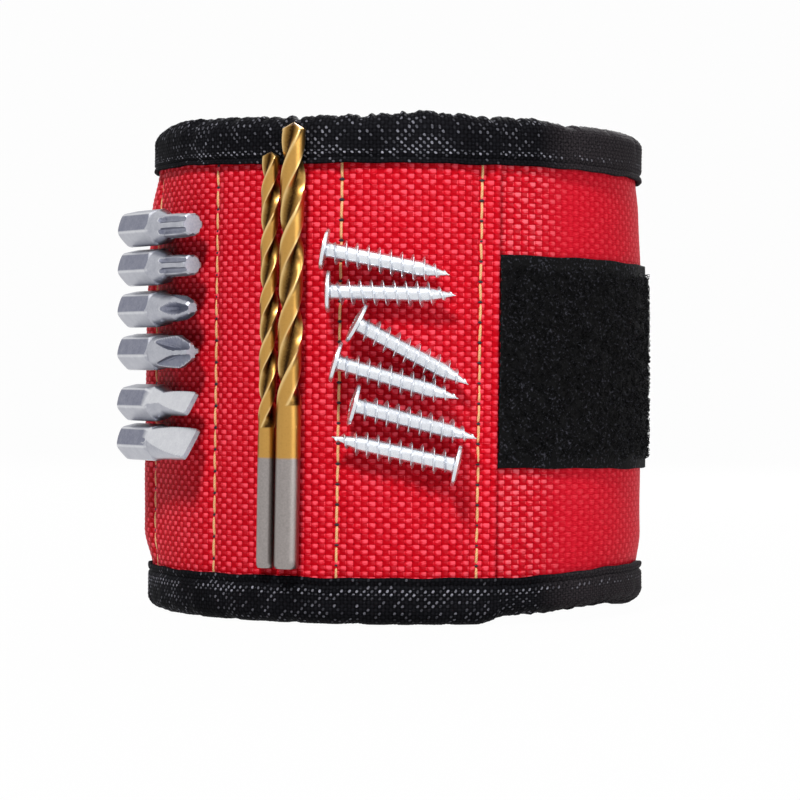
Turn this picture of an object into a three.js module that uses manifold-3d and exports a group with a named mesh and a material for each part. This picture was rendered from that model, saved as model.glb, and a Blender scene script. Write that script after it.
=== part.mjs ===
// A magnetic wristband, closed and standing on its lower edge, loaded with the small steel pieces
// that its magnets hold: six driver bits, two twist drills and six wafer-head screws.
// Millimetres, +Z up. The wearer's arm passes along Z. The front, with the screws, faces -Y.
// Run with: npm install three manifold-3d, then import the default export, a THREE.Group of meshes.
import * as THREE from 'three';
import { mergeVertices } from 'three/addons/utils/BufferGeometryUtils.js';
import Module from 'manifold-3d';

const wasm = await Module();
wasm.setup();

// Driving sizes of the band
const BAND_HEIGHT = 90;
const LINING_RADIUS = 41.1; // inside face of the closed ring
const LINING_THICKNESS = 0.6;
const PAD_THICKNESS = 2.8;
const COVER_THICKNESS = 0.6;
const PANEL_THICKNESS = 0.7;
const BINDING_THICKNESS = 0.8;
const TOP_BINDING_WIDTH = 9;
const BOTTOM_BINDING_WIDTH = 8.4;
const END_BINDING_WIDTH = 8.4;
const PLY_GAP = 0.2; // air between plies that are sewn face to face
const SEAT_GAP = 0.3; // air under a piece that lies on the band
const HINGE_GAP = 0.3; // air between the fabric on both sides of a fold line
const EDGE_MARGIN = 2.8; // the pads stop this far inside the fabric's upper and lower edges
const SEAM_ALLOWANCE = 0.6; // half the sewn channel between two pads
const CUT_OVERRUN = 5;

// Angles are in degrees about Z, from the front (-Y) towards the wearer's right hand side (+X).
const FACET_STEP = 4;
const SEAM_ANGLES = [18.3, -13.2, -46, -77, -109, -141];
const PANEL_EDGE_ANGLE = 22.3;
const INNER_END_ANGLE = 190; // the end that lies underneath
const WING_FOLD_ANGLE = -110;
const PAD_END_ANGLE = -164;
const LINING_END_ANGLE = -165;
const TAB_FOLD_ANGLE = -172;
const TAB_TIP_ANGLE = -240;
const LIFT_START_ANGLE = -138;
const LIFT_END_ANGLE = -166;
const THIN_ANGLE = 1.2; // the angle over which the edge tape steps from the padded strap to the tab

// Closure
const LOOP_TAPE_WIDTH = 38;
const LOOP_THICKNESS = 1.7;
const HOOK_THICKNESS = 0.7;
const LOOP_TAPE_RISE = 1; // how far the closure's middle lies above the band's
const LOOP_EDGE_GAP_ANGLE = 0.5;
const HOOK_START_ANGLE = -182;

// Magnets, three in each of five sewn channels
const MAGNET_WIDTH = 10;
const MAGNET_HEIGHT = 20;
const MAGNET_THICKNESS = 1.8;
const MAGNET_PITCH = 22.6;
const MAGNET_CLEARANCE = 0.3;
const MAGNET_CHANNELS = 5;
const MAGNET_ROWS = ['bottom', 'middle', 'top'];

// Distances out from the lining's inside face to the inside face of each ply
const PAD_OFFSET = LINING_THICKNESS + PLY_GAP;
const COVER_OFFSET = PAD_OFFSET + PAD_THICKNESS + PLY_GAP;
const PANEL_OFFSET = COVER_OFFSET + COVER_THICKNESS + PLY_GAP;
const COVER_SKIN = COVER_OFFSET + COVER_THICKNESS;
const PANEL_SKIN = PANEL_OFFSET + PANEL_THICKNESS;
const TAPE_STAND_OFF = PLY_GAP + BINDING_THICKNESS;
const PANEL_RADIUS = LINING_RADIUS + PANEL_SKIN;
const RIM_RADIUS = PANEL_RADIUS + TAPE_STAND_OFF;
// The tab passes over the loop tape, with the hook tape between them.
const TAB_LIFT = COVER_SKIN + PLY_GAP + LOOP_THICKNESS + SEAT_GAP + HOOK_THICKNESS + PLY_GAP - COVER_OFFSET;

const FABRIC_BOTTOM = BINDING_THICKNESS + PLY_GAP;
const FABRIC_TOP = BAND_HEIGHT - FABRIC_BOTTOM;
const TOP_TAPE_EDGE = BAND_HEIGHT - TOP_BINDING_WIDTH;
// The closure's tapes stop short of the edge tape that is folded over each end.
const endTapeReach = THREE.MathUtils.radToDeg((END_BINDING_WIDTH + PLY_GAP) / PANEL_RADIUS);
const LOOP_END_ANGLE = INNER_END_ANGLE - endTapeReach;
const HOOK_END_ANGLE = TAB_TIP_ANGLE + endTapeReach;

const radians = THREE.MathUtils.degToRad;
const outward = (angle) => new THREE.Vector3(Math.sin(radians(angle)), -Math.cos(radians(angle)), 0);
const along = (angle) => new THREE.Vector3(Math.cos(radians(angle)), Math.sin(radians(angle)), 0);

// The strap spirals outwards at the back, so that its tab can close over its other end.
function lift(angle) {
  return TAB_LIFT * THREE.MathUtils.smoothstep(-angle, -LIFT_START_ANGLE, -LIFT_END_ANGLE);
}

// How far out the fabric's outside face is, which steps down where the magnet panel ends.
const skin = (angle) =>
  THREE.MathUtils.mapLinear(
    THREE.MathUtils.smoothstep(angle, PANEL_EDGE_ANGLE, PANEL_EDGE_ANGLE + THIN_ANGLE),
    0,
    1,
    PANEL_SKIN,
    COVER_SKIN,
  );

// How far out its inside face is: the tab has no lining and no pads.
const insideFace = (angle) =>
  COVER_OFFSET * THREE.MathUtils.smoothstep(-angle, -LINING_END_ANGLE, THIN_ANGLE - LINING_END_ANGLE);
const STEP_ANGLES = [
  PANEL_EDGE_ANGLE,
  PANEL_EDGE_ANGLE + THIN_ANGLE,
  LINING_END_ANGLE,
  LINING_END_ANGLE - THIN_ANGLE,
];

function pointAt(angle, offset) {
  const point = outward(angle).multiplyScalar(LINING_RADIUS + lift(angle) + offset);
  return new THREE.Vector2(point.x, point.y);
}

function anglesBetween(from, to) {
  const low = Math.min(from, to);
  const high = Math.max(from, to);
  const angles = [low, high, ...STEP_ANGLES];
  for (let a = Math.ceil(low / FACET_STEP) * FACET_STEP; a < high; a += FACET_STEP) angles.push(a);
  const inside = angles.filter((a) => a >= low && a <= high);
  return [...new Set(inside)].toSorted((a, b) => a - b);
}

const asFunction = (value) => (typeof value === 'function' ? value : () => value);

// A curved wall that follows the strap from one angle to another, between two offsets and heights.
function wall(from, to, inner, outer, bottom, top) {
  const angles = anglesBetween(from, to);
  const innerAt = asFunction(inner);
  const outerAt = asFunction(outer);
  const outline = [
    ...angles.map((a) => pointAt(a, outerAt(a))),
    ...angles.toReversed().map((a) => pointAt(a, innerAt(a))),
  ];
  const geometry = new THREE.ExtrudeGeometry(new THREE.Shape(outline), {
    depth: top - bottom,
    bevelEnabled: false,
  });
  return geometry.translate(0, 0, bottom);
}

// A geometry as a solid, with its matrix applied
function solid(geometry, matrix = new THREE.Matrix4()) {
  const plain = (geometry.index ? geometry.toNonIndexed() : geometry.clone()).applyMatrix4(matrix);
  plain.deleteAttribute('normal');
  plain.deleteAttribute('uv');
  const merged = mergeVertices(plain);
  return new wasm.Manifold(
    new wasm.Mesh({
      numProp: 3,
      vertProperties: new Float32Array(merged.attributes.position.array),
      triVerts: new Uint32Array(merged.index.array),
    }),
  );
}

function geometryOf(shape) {
  const mesh = shape.getMesh();
  const geometry = new THREE.BufferGeometry();
  geometry.setAttribute('position', new THREE.BufferAttribute(new Float32Array(mesh.vertProperties), 3));
  geometry.setIndex(new THREE.BufferAttribute(new Uint32Array(mesh.triVerts), 1));
  return geometry;
}

const join = (...parts) => geometryOf(parts.map((p) => solid(p)).reduce((a, b) => a.add(b)));
const cut = (body, ...tools) => geometryOf(tools.reduce((a, b) => a.subtract(solid(b)), solid(body)));

const finish = (color, roughness, metalness = 0) =>
  new THREE.MeshStandardMaterial({ color, roughness, metalness });
const RED_NYLON = finish(0xd01526, 0.6);
const LINING_MESH = finish(0x1b1b1e, 0.9);
const FOAM = finish(0x4a4a4d, 0.95);
const EDGE_TAPE = finish(0x141417, 0.8);
const PILE = finish(0x0c0c0e, 1);
const HOOKS = finish(0x101012, 0.7);
const MAGNET_NICKEL = finish(0xb9bcc0, 0.3, 1);
const TOOL_STEEL = finish(0x8d9096, 0.4, 1);
const DRILL_STEEL = finish(0xb99645, 0.3, 1);
const ZINC = finish(0xdde3ea, 0.2, 1);

const wristband = new THREE.Group();

function add(name, geometry, material) {
  const mesh = new THREE.Mesh(geometry, material);
  mesh.name = name;
  wristband.add(mesh);
  return mesh;
}

// Plies of the strap, in two lengths that meet at the wing's fold line
const wingStart = WING_FOLD_ANGLE - THREE.MathUtils.radToDeg(HINGE_GAP / RIM_RADIUS);
const tabStart = TAB_FOLD_ANGLE - THREE.MathUtils.radToDeg(HINGE_GAP / RIM_RADIUS);

function ply(name, from, to, inner, thickness, material) {
  add(name, wall(from, to, inner, inner + thickness, FABRIC_BOTTOM, FABRIC_TOP), material);
}

function addPlies() {
  ply('lining_front', INNER_END_ANGLE, WING_FOLD_ANGLE, 0, LINING_THICKNESS, LINING_MESH);
  ply('lining_wing', wingStart, LINING_END_ANGLE, 0, LINING_THICKNESS, LINING_MESH);
  ply('base_cover_front', INNER_END_ANGLE, WING_FOLD_ANGLE, COVER_OFFSET, COVER_THICKNESS, RED_NYLON);
  ply('base_cover_wing', wingStart, TAB_FOLD_ANGLE, COVER_OFFSET, COVER_THICKNESS, RED_NYLON);
  ply('magnet_panel_front', PANEL_EDGE_ANGLE, WING_FOLD_ANGLE, PANEL_OFFSET, PANEL_THICKNESS, RED_NYLON);
  ply('magnet_panel_wing', wingStart, TAB_FOLD_ANGLE, PANEL_OFFSET, PANEL_THICKNESS, RED_NYLON);
  ply('tab_backing', tabStart, TAB_TIP_ANGLE, COVER_OFFSET, COVER_THICKNESS, EDGE_TAPE);
  ply('tab_cover', tabStart, TAB_TIP_ANGLE, PANEL_OFFSET, PANEL_THICKNESS, RED_NYLON);
}

// Foam pads, one in each sewn channel, with pockets for the magnets
const padTop = FABRIC_TOP - EDGE_MARGIN;
const padBottom = FABRIC_BOTTOM + EDGE_MARGIN;
const seamHalfAngle = THREE.MathUtils.radToDeg(SEAM_ALLOWANCE / LINING_RADIUS);
const magnetHeights = MAGNET_ROWS.map((row, i) => BAND_HEIGHT / 2 + (i - 1) * MAGNET_PITCH);
// A flat magnet's long edges stay inside the pad's curved face.
const magnetFace = Math.sqrt((LINING_RADIUS + PAD_OFFSET + PAD_THICKNESS) ** 2 - (MAGNET_WIDTH / 2) ** 2);
const magnetRadius = magnetFace - MAGNET_THICKNESS / 2;

function blockAt(angle, height, radius, depth, width, tall) {
  const block = new THREE.BoxGeometry(depth, width, tall);
  return block
    .applyMatrix4(new THREE.Matrix4().makeBasis(outward(angle), along(angle), new THREE.Vector3(0, 0, 1)))
    .translate(...outward(angle).multiplyScalar(radius).setZ(height));
}

function addPadsAndMagnets() {
  const pad = (name, from, to) => {
    const outside = PAD_OFFSET + PAD_THICKNESS;
    return [name, wall(from - seamHalfAngle, to + seamHalfAngle, PAD_OFFSET, outside, padBottom, padTop)];
  };
  SEAM_ANGLES.forEach((from, i) => {
    const to = SEAM_ANGLES[i + 1] ?? PAD_END_ANGLE;
    const [name, body] = pad(`pad_${i + 1}`, from, to);
    if (i >= MAGNET_CHANNELS) {
      add(name, body, FOAM);
      return;
    }
    const middle = (from + to) / 2;
    const reach = MAGNET_THICKNESS + MAGNET_CLEARANCE;
    const pocketDepth = reach + CUT_OVERRUN;
    const pocketRadius = magnetFace - reach + pocketDepth / 2;
    const pocketWidth = MAGNET_WIDTH + 2 * MAGNET_CLEARANCE;
    const pocketHeight = MAGNET_HEIGHT + 2 * MAGNET_CLEARANCE;
    const pockets = magnetHeights.map((z) =>
      blockAt(middle, z, pocketRadius, pocketDepth, pocketWidth, pocketHeight),
    );
    add(name, cut(body, ...pockets), FOAM);
    magnetHeights.forEach((z, row) => {
      const magnet = blockAt(middle, z, magnetRadius, MAGNET_THICKNESS, MAGNET_WIDTH, MAGNET_HEIGHT);
      add(`magnet_${i + 1}_${MAGNET_ROWS[row]}`, magnet, MAGNET_NICKEL);
    });
  });
  const sideAngle = (SEAM_ANGLES[0] + INNER_END_ANGLE) / 2;
  add(...pad('pad_right', sideAngle, SEAM_ANGLES[0] + 2 * seamHalfAngle), FOAM);
  add(...pad('pad_inner_end', INNER_END_ANGLE, sideAngle + 2 * seamHalfAngle), FOAM);
}

// Edge tape: a U folded over the upper or lower edge, and over both ends
function edgeTape(from, to, bottom, top, webBottom, webTop) {
  const outside = (a) => skin(a) + TAPE_STAND_OFF;
  const inside = (a) => insideFace(a) - TAPE_STAND_OFF;
  return join(
    wall(from, to, (a) => skin(a) + PLY_GAP, outside, bottom, top),
    wall(from, to, inside, (a) => insideFace(a) - PLY_GAP, bottom, top),
    wall(from, to, inside, outside, webBottom, webTop),
  );
}

function addEdgeTapes() {
  const lengths = [
    ['front', INNER_END_ANGLE, WING_FOLD_ANGLE],
    ['wing', wingStart, TAB_FOLD_ANGLE],
    ['tab', tabStart, TAB_TIP_ANGLE],
  ];
  for (const [where, from, to] of lengths) {
    const webBottom = BAND_HEIGHT - BINDING_THICKNESS;
    const top = edgeTape(from, to, TOP_TAPE_EDGE, BAND_HEIGHT, webBottom, BAND_HEIGHT);
    const bottom = edgeTape(from, to, 0, BOTTOM_BINDING_WIDTH, 0, BINDING_THICKNESS);
    add(`top_edge_tape_${where}`, top, EDGE_TAPE);
    add(`bottom_edge_tape_${where}`, bottom, EDGE_TAPE);
  }
  const endTape = (end, direction) => {
    const degrees = (length) => direction * THREE.MathUtils.radToDeg(length / PANEL_RADIUS);
    const bottom = BOTTOM_BINDING_WIDTH + PLY_GAP;
    const top = TOP_TAPE_EDGE - PLY_GAP;
    const webStart = end + degrees(PLY_GAP);
    const webEnd = webStart + degrees(BINDING_THICKNESS);
    const legEnd = end - degrees(END_BINDING_WIDTH);
    const outside = (a) => skin(a) + TAPE_STAND_OFF;
    const inside = (a) => insideFace(a) - TAPE_STAND_OFF;
    return join(
      wall(legEnd, webEnd, (a) => skin(a) + PLY_GAP, outside, bottom, top),
      wall(legEnd, webEnd, inside, (a) => insideFace(a) - PLY_GAP, bottom, top),
      wall(webStart, webEnd, inside, outside, bottom, top),
    );
  };
  add('inner_end_tape', endTape(INNER_END_ANGLE, 1), EDGE_TAPE);
  add('tab_end_tape', endTape(TAB_TIP_ANGLE, -1), EDGE_TAPE);
}

// Hook-and-loop closure: pile outside the inner end, hooks inside the tab
function addClosure() {
  const bottom = BAND_HEIGHT / 2 + LOOP_TAPE_RISE - LOOP_TAPE_WIDTH / 2;
  const top = bottom + LOOP_TAPE_WIDTH;
  const pileFace = COVER_SKIN + PLY_GAP;
  const hookFace = COVER_OFFSET - PLY_GAP;
  const start = PANEL_EDGE_ANGLE + LOOP_EDGE_GAP_ANGLE;
  add('loop_tape', wall(start, LOOP_END_ANGLE, pileFace, pileFace + LOOP_THICKNESS, bottom, top), PILE);
  const hooks = wall(HOOK_START_ANGLE, HOOK_END_ANGLE, hookFace - HOOK_THICKNESS, hookFace, bottom, top);
  add('hook_tape', hooks, HOOKS);
}

// Closed mesh through rings of points, with a fan over each end
function loft(rings) {
  const count = rings[0].length;
  const middle = (ring) => ring.reduce((sum, p) => sum.add(p), new THREE.Vector3()).divideScalar(count);
  const points = [middle(rings[0]), ...rings.flat(), middle(rings.at(-1))];
  const last = points.length - 1;
  const index = [];
  const at = (ring, i) => 1 + ring * count + (i % count);
  for (let i = 0; i < count; i++) {
    index.push(0, at(0, i + 1), at(0, i));
    index.push(last, at(rings.length - 1, i), at(rings.length - 1, i + 1));
    for (let r = 0; r + 1 < rings.length; r++) {
      index.push(at(r, i), at(r, i + 1), at(r + 1, i + 1));
      index.push(at(r, i), at(r + 1, i + 1), at(r + 1, i));
    }
  }
  const geometry = new THREE.BufferGeometry().setFromPoints(points);
  geometry.setIndex(index);
  return geometry;
}

// A turned body along Z, from [radius, height] pairs that start and end on the axis
const turned = (profile, sides) =>
  new THREE.LatheGeometry(profile.map(([r, z]) => new THREE.Vector2(r, z)), sides).rotateX(Math.PI / 2);

// A steel piece lies along the band with its own Z on the given direction and its X facing out.
function lay(mesh, direction, face, position) {
  const z = direction.clone().normalize();
  const x = face.clone().addScaledVector(z, -face.dot(z)).normalize();
  mesh.quaternion.setFromRotationMatrix(new THREE.Matrix4().makeBasis(x, z.clone().cross(x), z));
  mesh.position.copy(position);
}

// Driver bits, 1/4 inch hex shank, with the four kinds of tip that the set has
const BIT_LENGTH = 25;
const BIT_FLATS = 6.35;
const BIT_CORNERS = 7;
const BIT_SHANK = 12.4;
const BIT_TAPER = 3.3;
const BIT_END_CHAMFER = 0.6;
const BIT_CONTACT_ANGLE = -60;
const BIT_SETBACK = 0.3; // from the line where the bit touches the band, back to the bit's middle
const ROUND_SIDES = 16;
const STAR_LOBES = 6;
// riseShare is each bit's height above the band's middle, in widths across the shank's corners.
// turn is how many degrees a blade is turned round its bit, so that its flat faces out and up.
const BITS = [
  { name: 'driver_bit_star_large', tip: 'star', width: 4.6, riseShare: 3.74 },
  { name: 'driver_bit_star_small', tip: 'star', width: 4.1, riseShare: 2.7 },
  { name: 'driver_bit_cross_small', tip: 'cross', width: 5, riseShare: 1.6 },
  { name: 'driver_bit_cross_large', tip: 'cross', width: 6, riseShare: 0.47 },
  { name: 'driver_bit_slot_small', tip: 'slot', width: 4.5, riseShare: -0.87, turn: -30 },
  { name: 'driver_bit_slot_large', tip: 'slot', width: 6, riseShare: -1.91, turn: -30 },
];
const STAR_VALLEY_SHARE = 0.74;
const CROSS_POINT_SHARE = 0.22;
const CROSS_WEB = 1;
const SLOT_BLADE = 0.9;
const TIP_CONE = 4.5;

// The hex shank has its flats across X and its corners eased to a circle.
function hexShank() {
  const facet = Math.acos(BIT_FLATS / BIT_CORNERS);
  const points = [];
  for (let side = 0; side < 6; side++) {
    for (const turn of [-facet, facet]) {
      const a = (side * Math.PI) / 3 + turn;
      points.push(new THREE.Vector2(Math.cos(a), Math.sin(a)).multiplyScalar(BIT_CORNERS / 2));
    }
  }
  return new THREE.ExtrudeGeometry(new THREE.Shape(points), { depth: BIT_SHANK, bevelEnabled: false });
}

function starTip(width) {
  const points = [];
  for (let i = 0; i < STAR_LOBES * 2; i++) {
    const a = (i * Math.PI) / STAR_LOBES;
    const r = (width / 2) * (i % 2 ? STAR_VALLEY_SHARE : 1);
    points.push(new THREE.Vector2(Math.cos(a), Math.sin(a)).multiplyScalar(r));
  }
  const start = BIT_SHANK + BIT_TAPER;
  const rod = new THREE.ExtrudeGeometry(new THREE.Shape(points), {
    depth: BIT_LENGTH - start + BIT_END_CHAMFER,
    bevelEnabled: false,
  });
  return rod.translate(0, 0, start - BIT_END_CHAMFER);
}

function tipBlank(width, blunt) {
  const start = BIT_SHANK + BIT_TAPER;
  return turned(
    [
      [0, start - BIT_END_CHAMFER],
      [width / 2, start - BIT_END_CHAMFER],
      [width / 2, BIT_LENGTH - TIP_CONE],
      [blunt * (width / 2), BIT_LENGTH],
      [0, BIT_LENGTH],
    ],
    ROUND_SIDES,
  );
}

function bitTip({ tip, width, turn }) {
  if (tip === 'star') return starTip(width);
  const blank = tipBlank(width, tip === 'cross' ? CROSS_POINT_SHARE : 1);
  const start = BIT_SHANK + BIT_TAPER;
  if (tip === 'cross') {
    const grooves = [0, 1, 2, 3].map((i) =>
      new THREE.BoxGeometry(width, width, BIT_LENGTH)
        .translate(width / 2 + CROSS_WEB / 2, width / 2 + CROSS_WEB / 2, BIT_LENGTH / 2 + start + BIT_TAPER)
        .rotateZ((i * Math.PI) / 2),
    );
    return cut(blank, ...grooves);
  }
  const slope = Math.atan2(width / 2 - SLOT_BLADE / 2, BIT_LENGTH - start);
  const cheeks = [1, -1].map((side) =>
    new THREE.BoxGeometry(width, 2 * width, 2 * BIT_LENGTH)
      .translate(width / 2, 0, 0)
      .rotateY(-slope)
      .translate(SLOT_BLADE / 2, 0, BIT_LENGTH)
      .scale(side, side, 1)
      .rotateZ(THREE.MathUtils.degToRad(turn)),
  );
  return cut(blank, ...cheeks);
}

function addDriverBits() {
  const touching = PANEL_RADIUS + SEAT_GAP + BIT_FLATS / 2;
  for (const bit of BITS) {
    const neck = turned(
      [
        [0, BIT_END_CHAMFER],
        [bit.width / 2, BIT_END_CHAMFER],
        [BIT_FLATS / 2, BIT_SHANK],
        [bit.width / 2, BIT_SHANK + BIT_TAPER],
        [0, BIT_SHANK + BIT_TAPER],
      ],
      ROUND_SIDES,
    );
    const mesh = add(bit.name, join(hexShank(), neck, bitTip(bit)), TOOL_STEEL);
    const direction = along(BIT_CONTACT_ANGLE);
    const position = outward(BIT_CONTACT_ANGLE)
      .multiplyScalar(touching)
      .addScaledVector(direction, -BIT_SETBACK - BIT_LENGTH / 2)
      .setZ(BAND_HEIGHT / 2 + bit.riseShare * BIT_CORNERS);
    lay(mesh, direction, outward(BIT_CONTACT_ANGLE), position);
  }
}

// Twist drills, upright at the front left, with their points over the upper edge tape
const LARGE_DRILL = { name: 'twist_drill_large', diameter: 4.4, length: 78.9, fluted: 50.1, lean: 1.6 };
const SMALL_DRILL = { name: 'twist_drill_small', diameter: 3.3, length: 73.9, fluted: 49.1, lean: 1.5 };
const LARGE_DRILL_ANGLE = -23.7;
const DRILL_SPACING = 0.45; // between the two shanks
const DRILL_FOOT_RISE = 1.5; // above the lower edge tape
const FLUTE_LEAD_SHARE = 6; // the helix's lead, in diameters
const FLUTE_SHARES = [1, 1, 0.72, 0.46, 0.5, 0.8, 1, 1, 0.72, 0.46, 0.5, 0.8];
const FLUTE_STEP_SHARE = 0.75; // the rings' spacing, in diameters
const POINT_SHARE = 0.3; // the point's height, in diameters
const CHISEL_SHARE = 0.12;

function drillGeometry({ diameter, length, fluted }) {
  const ring = (z, scale, shares, turn) =>
    shares.map((share, i) => {
      const a = (i * 2 * Math.PI) / shares.length + turn;
      const r = (diameter / 2) * share * scale;
      return new THREE.Vector3(r * Math.cos(a), r * Math.sin(a), z);
    });
  const round = FLUTE_SHARES.map(() => 1);
  const start = length - fluted;
  const shoulder = length - POINT_SHARE * diameter;
  const steps = Math.round((shoulder - start) / (FLUTE_STEP_SHARE * diameter));
  const turnAt = (z) => ((z - start) * 2 * Math.PI) / (FLUTE_LEAD_SHARE * diameter);
  const rings = [ring(0, 1, round, 0), ring(start, 1, round, 0)];
  for (let i = 1; i <= steps; i++) {
    const z = start + ((shoulder - start) * i) / steps;
    rings.push(ring(z, 1, FLUTE_SHARES, turnAt(z)));
  }
  rings.push(ring(length, CHISEL_SHARE, FLUTE_SHARES, turnAt(length)));
  return loft(rings);
}

function addDrills() {
  const apart = (LARGE_DRILL.diameter + SMALL_DRILL.diameter) / 2 + DRILL_SPACING;
  const smallAngle = LARGE_DRILL_ANGLE - THREE.MathUtils.radToDeg(apart / PANEL_RADIUS);
  for (const [drill, angle] of [[LARGE_DRILL, LARGE_DRILL_ANGLE], [SMALL_DRILL, smallAngle]]) {
    const mesh = add(drill.name, drillGeometry(drill), DRILL_STEEL);
    const seat = SEAT_GAP + drill.diameter / 2;
    const footHeight = BOTTOM_BINDING_WIDTH + DRILL_FOOT_RISE;
    const foot = outward(angle).multiplyScalar(PANEL_RADIUS + seat).setZ(footHeight);
    const rest = outward(angle + drill.lean).multiplyScalar(RIM_RADIUS + seat).setZ(TOP_TAPE_EDGE);
    lay(mesh, rest.sub(foot), outward(angle), foot);
  }
}

// Wafer-head screws. Each touches the band where it is tangent to it and at its head's rim.
const SCREW_LENGTH = 23.2;
const SCREW_HEAD = 7.4;
const SCREW_HEAD_THICKNESS = 1;
const SCREW_NECK = 1.2;
const SCREW_CREST = 4.6;
const SCREW_ROOT = 2.9;
const SCREW_PITCH = 2;
const SCREW_POINT = 5;
const RECESS_DIAMETER = 3.4;
const RECESS_DEPTH = 0.7;
const CREST_SHARE = 0.16; // half a crest's width at its foot, in pitches
const SCREW_SIDES = 8;
// The shares are where the head's rim is, in head widths right of and above the band's middle.
// tilt is how far its point drops. The sixth screw is turned end for end.
const SCREWS = [
  { name: 'screw_1', sideShare: -1.86, riseShare: 2.9, tilt: 11.2, facing: 1 },
  { name: 'screw_2', sideShare: -1.77, riseShare: 1.88, tilt: 1.3, facing: 1 },
  { name: 'screw_3', sideShare: -1.08, riseShare: 1.17, tilt: 28.2, facing: 1 },
  { name: 'screw_4', sideShare: -1.57, riseShare: 0.23, tilt: 16.2, facing: 1 },
  { name: 'screw_5', sideShare: -1.14, riseShare: -0.79, tilt: 14.9, facing: 1 },
  { name: 'screw_6', sideShare: 1.48, riseShare: -2.26, tilt: -12.6, facing: -1 },
];

function screwGeometry() {
  const profile = [
    [0, RECESS_DEPTH],
    [RECESS_DIAMETER / 2, RECESS_DEPTH],
    [RECESS_DIAMETER / 2, 0],
    [SCREW_HEAD / 2, SCREW_HEAD_THICKNESS / 2],
    [SCREW_HEAD / 2, SCREW_HEAD_THICKNESS],
    [SCREW_CREST / 2, SCREW_HEAD_THICKNESS],
    [SCREW_ROOT / 2, SCREW_HEAD_THICKNESS + SCREW_NECK],
  ];
  const pointStart = SCREW_LENGTH - SCREW_POINT;
  const taper = (z) => Math.min(1, (SCREW_LENGTH - z) / SCREW_POINT);
  const firstCrest = SCREW_HEAD_THICKNESS + SCREW_NECK + SCREW_PITCH / 2;
  for (let z = firstCrest; z < pointStart + SCREW_POINT / 2; z += SCREW_PITCH) {
    const foot = CREST_SHARE * SCREW_PITCH;
    profile.push([(SCREW_ROOT / 2) * taper(z - foot), z - foot]);
    profile.push([(SCREW_CREST / 2) * taper(z), z]);
    profile.push([(SCREW_ROOT / 2) * taper(z + foot), z + foot]);
  }
  profile.push([0, SCREW_LENGTH]);
  return turned(profile, SCREW_SIDES);
}

function addScrews() {
  const touching = PANEL_RADIUS + SEAT_GAP + SCREW_CREST / 2;
  const headRadius = PANEL_RADIUS + SEAT_GAP + SCREW_HEAD / 2;
  const reach = Math.sqrt(headRadius ** 2 - touching ** 2);
  for (const { name, sideShare, riseShare, tilt, facing } of SCREWS) {
    const mesh = add(name, screwGeometry(), ZINC);
    const side = sideShare * SCREW_HEAD + facing * reach;
    const angle = THREE.MathUtils.radToDeg(Math.asin(side / touching));
    const drop = reach * Math.tan(radians(tilt));
    const direction = along(angle)
      .multiplyScalar(facing * Math.cos(radians(tilt)))
      .setZ(-Math.sin(radians(tilt)));
    const position = outward(angle)
      .multiplyScalar(touching)
      .setZ(BAND_HEIGHT / 2 + riseShare * SCREW_HEAD - drop)
      .addScaledVector(direction, -reach / Math.cos(radians(tilt)));
    lay(mesh, direction, outward(angle), position);
  }
}

addPlies();
addPadsAndMagnets();
addEdgeTapes();
addClosure();
addDriverBits();
addDrills();
addScrews();

// The origin is under the middle of the whole part, on the surface that it stands on.
const box = new THREE.Box3().setFromObject(wristband, true);
wristband.position.set(-(box.min.x + box.max.x) / 2, -(box.min.y + box.max.y) / 2, -box.min.z);

export default wristband;
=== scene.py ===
# %% [markdown]
# # A magnetic wristband, closed and loaded
# The real thing is a padded strap of red woven nylon, bound with black tape, with block magnets sewn
# into channels. Driver bits, twist drills and screws cling to it. The construction is already made,
# as plain solids at their real size. This notebook gives every piece its looks and leaves it where
# it is. It works in millimetres, and turns them into metres only when a mesh is made.

# %% Load the construction
import math

import bpy
import numpy as np
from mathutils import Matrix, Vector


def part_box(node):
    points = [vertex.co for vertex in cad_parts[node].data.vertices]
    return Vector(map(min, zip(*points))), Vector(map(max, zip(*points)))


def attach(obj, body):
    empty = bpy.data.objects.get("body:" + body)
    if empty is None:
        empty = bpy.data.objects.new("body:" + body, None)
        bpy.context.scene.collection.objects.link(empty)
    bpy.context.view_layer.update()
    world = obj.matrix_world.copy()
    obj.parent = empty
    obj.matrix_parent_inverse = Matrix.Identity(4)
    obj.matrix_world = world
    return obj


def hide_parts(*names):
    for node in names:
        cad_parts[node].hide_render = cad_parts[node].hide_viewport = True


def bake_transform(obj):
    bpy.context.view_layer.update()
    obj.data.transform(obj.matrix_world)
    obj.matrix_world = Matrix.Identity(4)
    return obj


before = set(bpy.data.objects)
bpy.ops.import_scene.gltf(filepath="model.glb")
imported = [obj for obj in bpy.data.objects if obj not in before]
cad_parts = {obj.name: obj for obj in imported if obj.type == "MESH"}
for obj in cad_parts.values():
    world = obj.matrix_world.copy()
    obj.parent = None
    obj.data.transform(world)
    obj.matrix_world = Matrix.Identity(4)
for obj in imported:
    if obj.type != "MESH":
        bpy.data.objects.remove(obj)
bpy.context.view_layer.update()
MM = 0.001


def box(node):
    """The lowest and highest corners of a construction node, in millimetres."""
    return [np.array(corner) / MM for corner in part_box(node)]


# %% [markdown]
# ## Measures of the ring
# Every ply of the strap is a wall round one upright axis, so a place on it is an angle, an offset
# out from the lining's inside face, and a height. The axis and the radii are measured from the
# construction's solids. Angles go from the front (-Y) towards +X, as on the construction.

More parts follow.
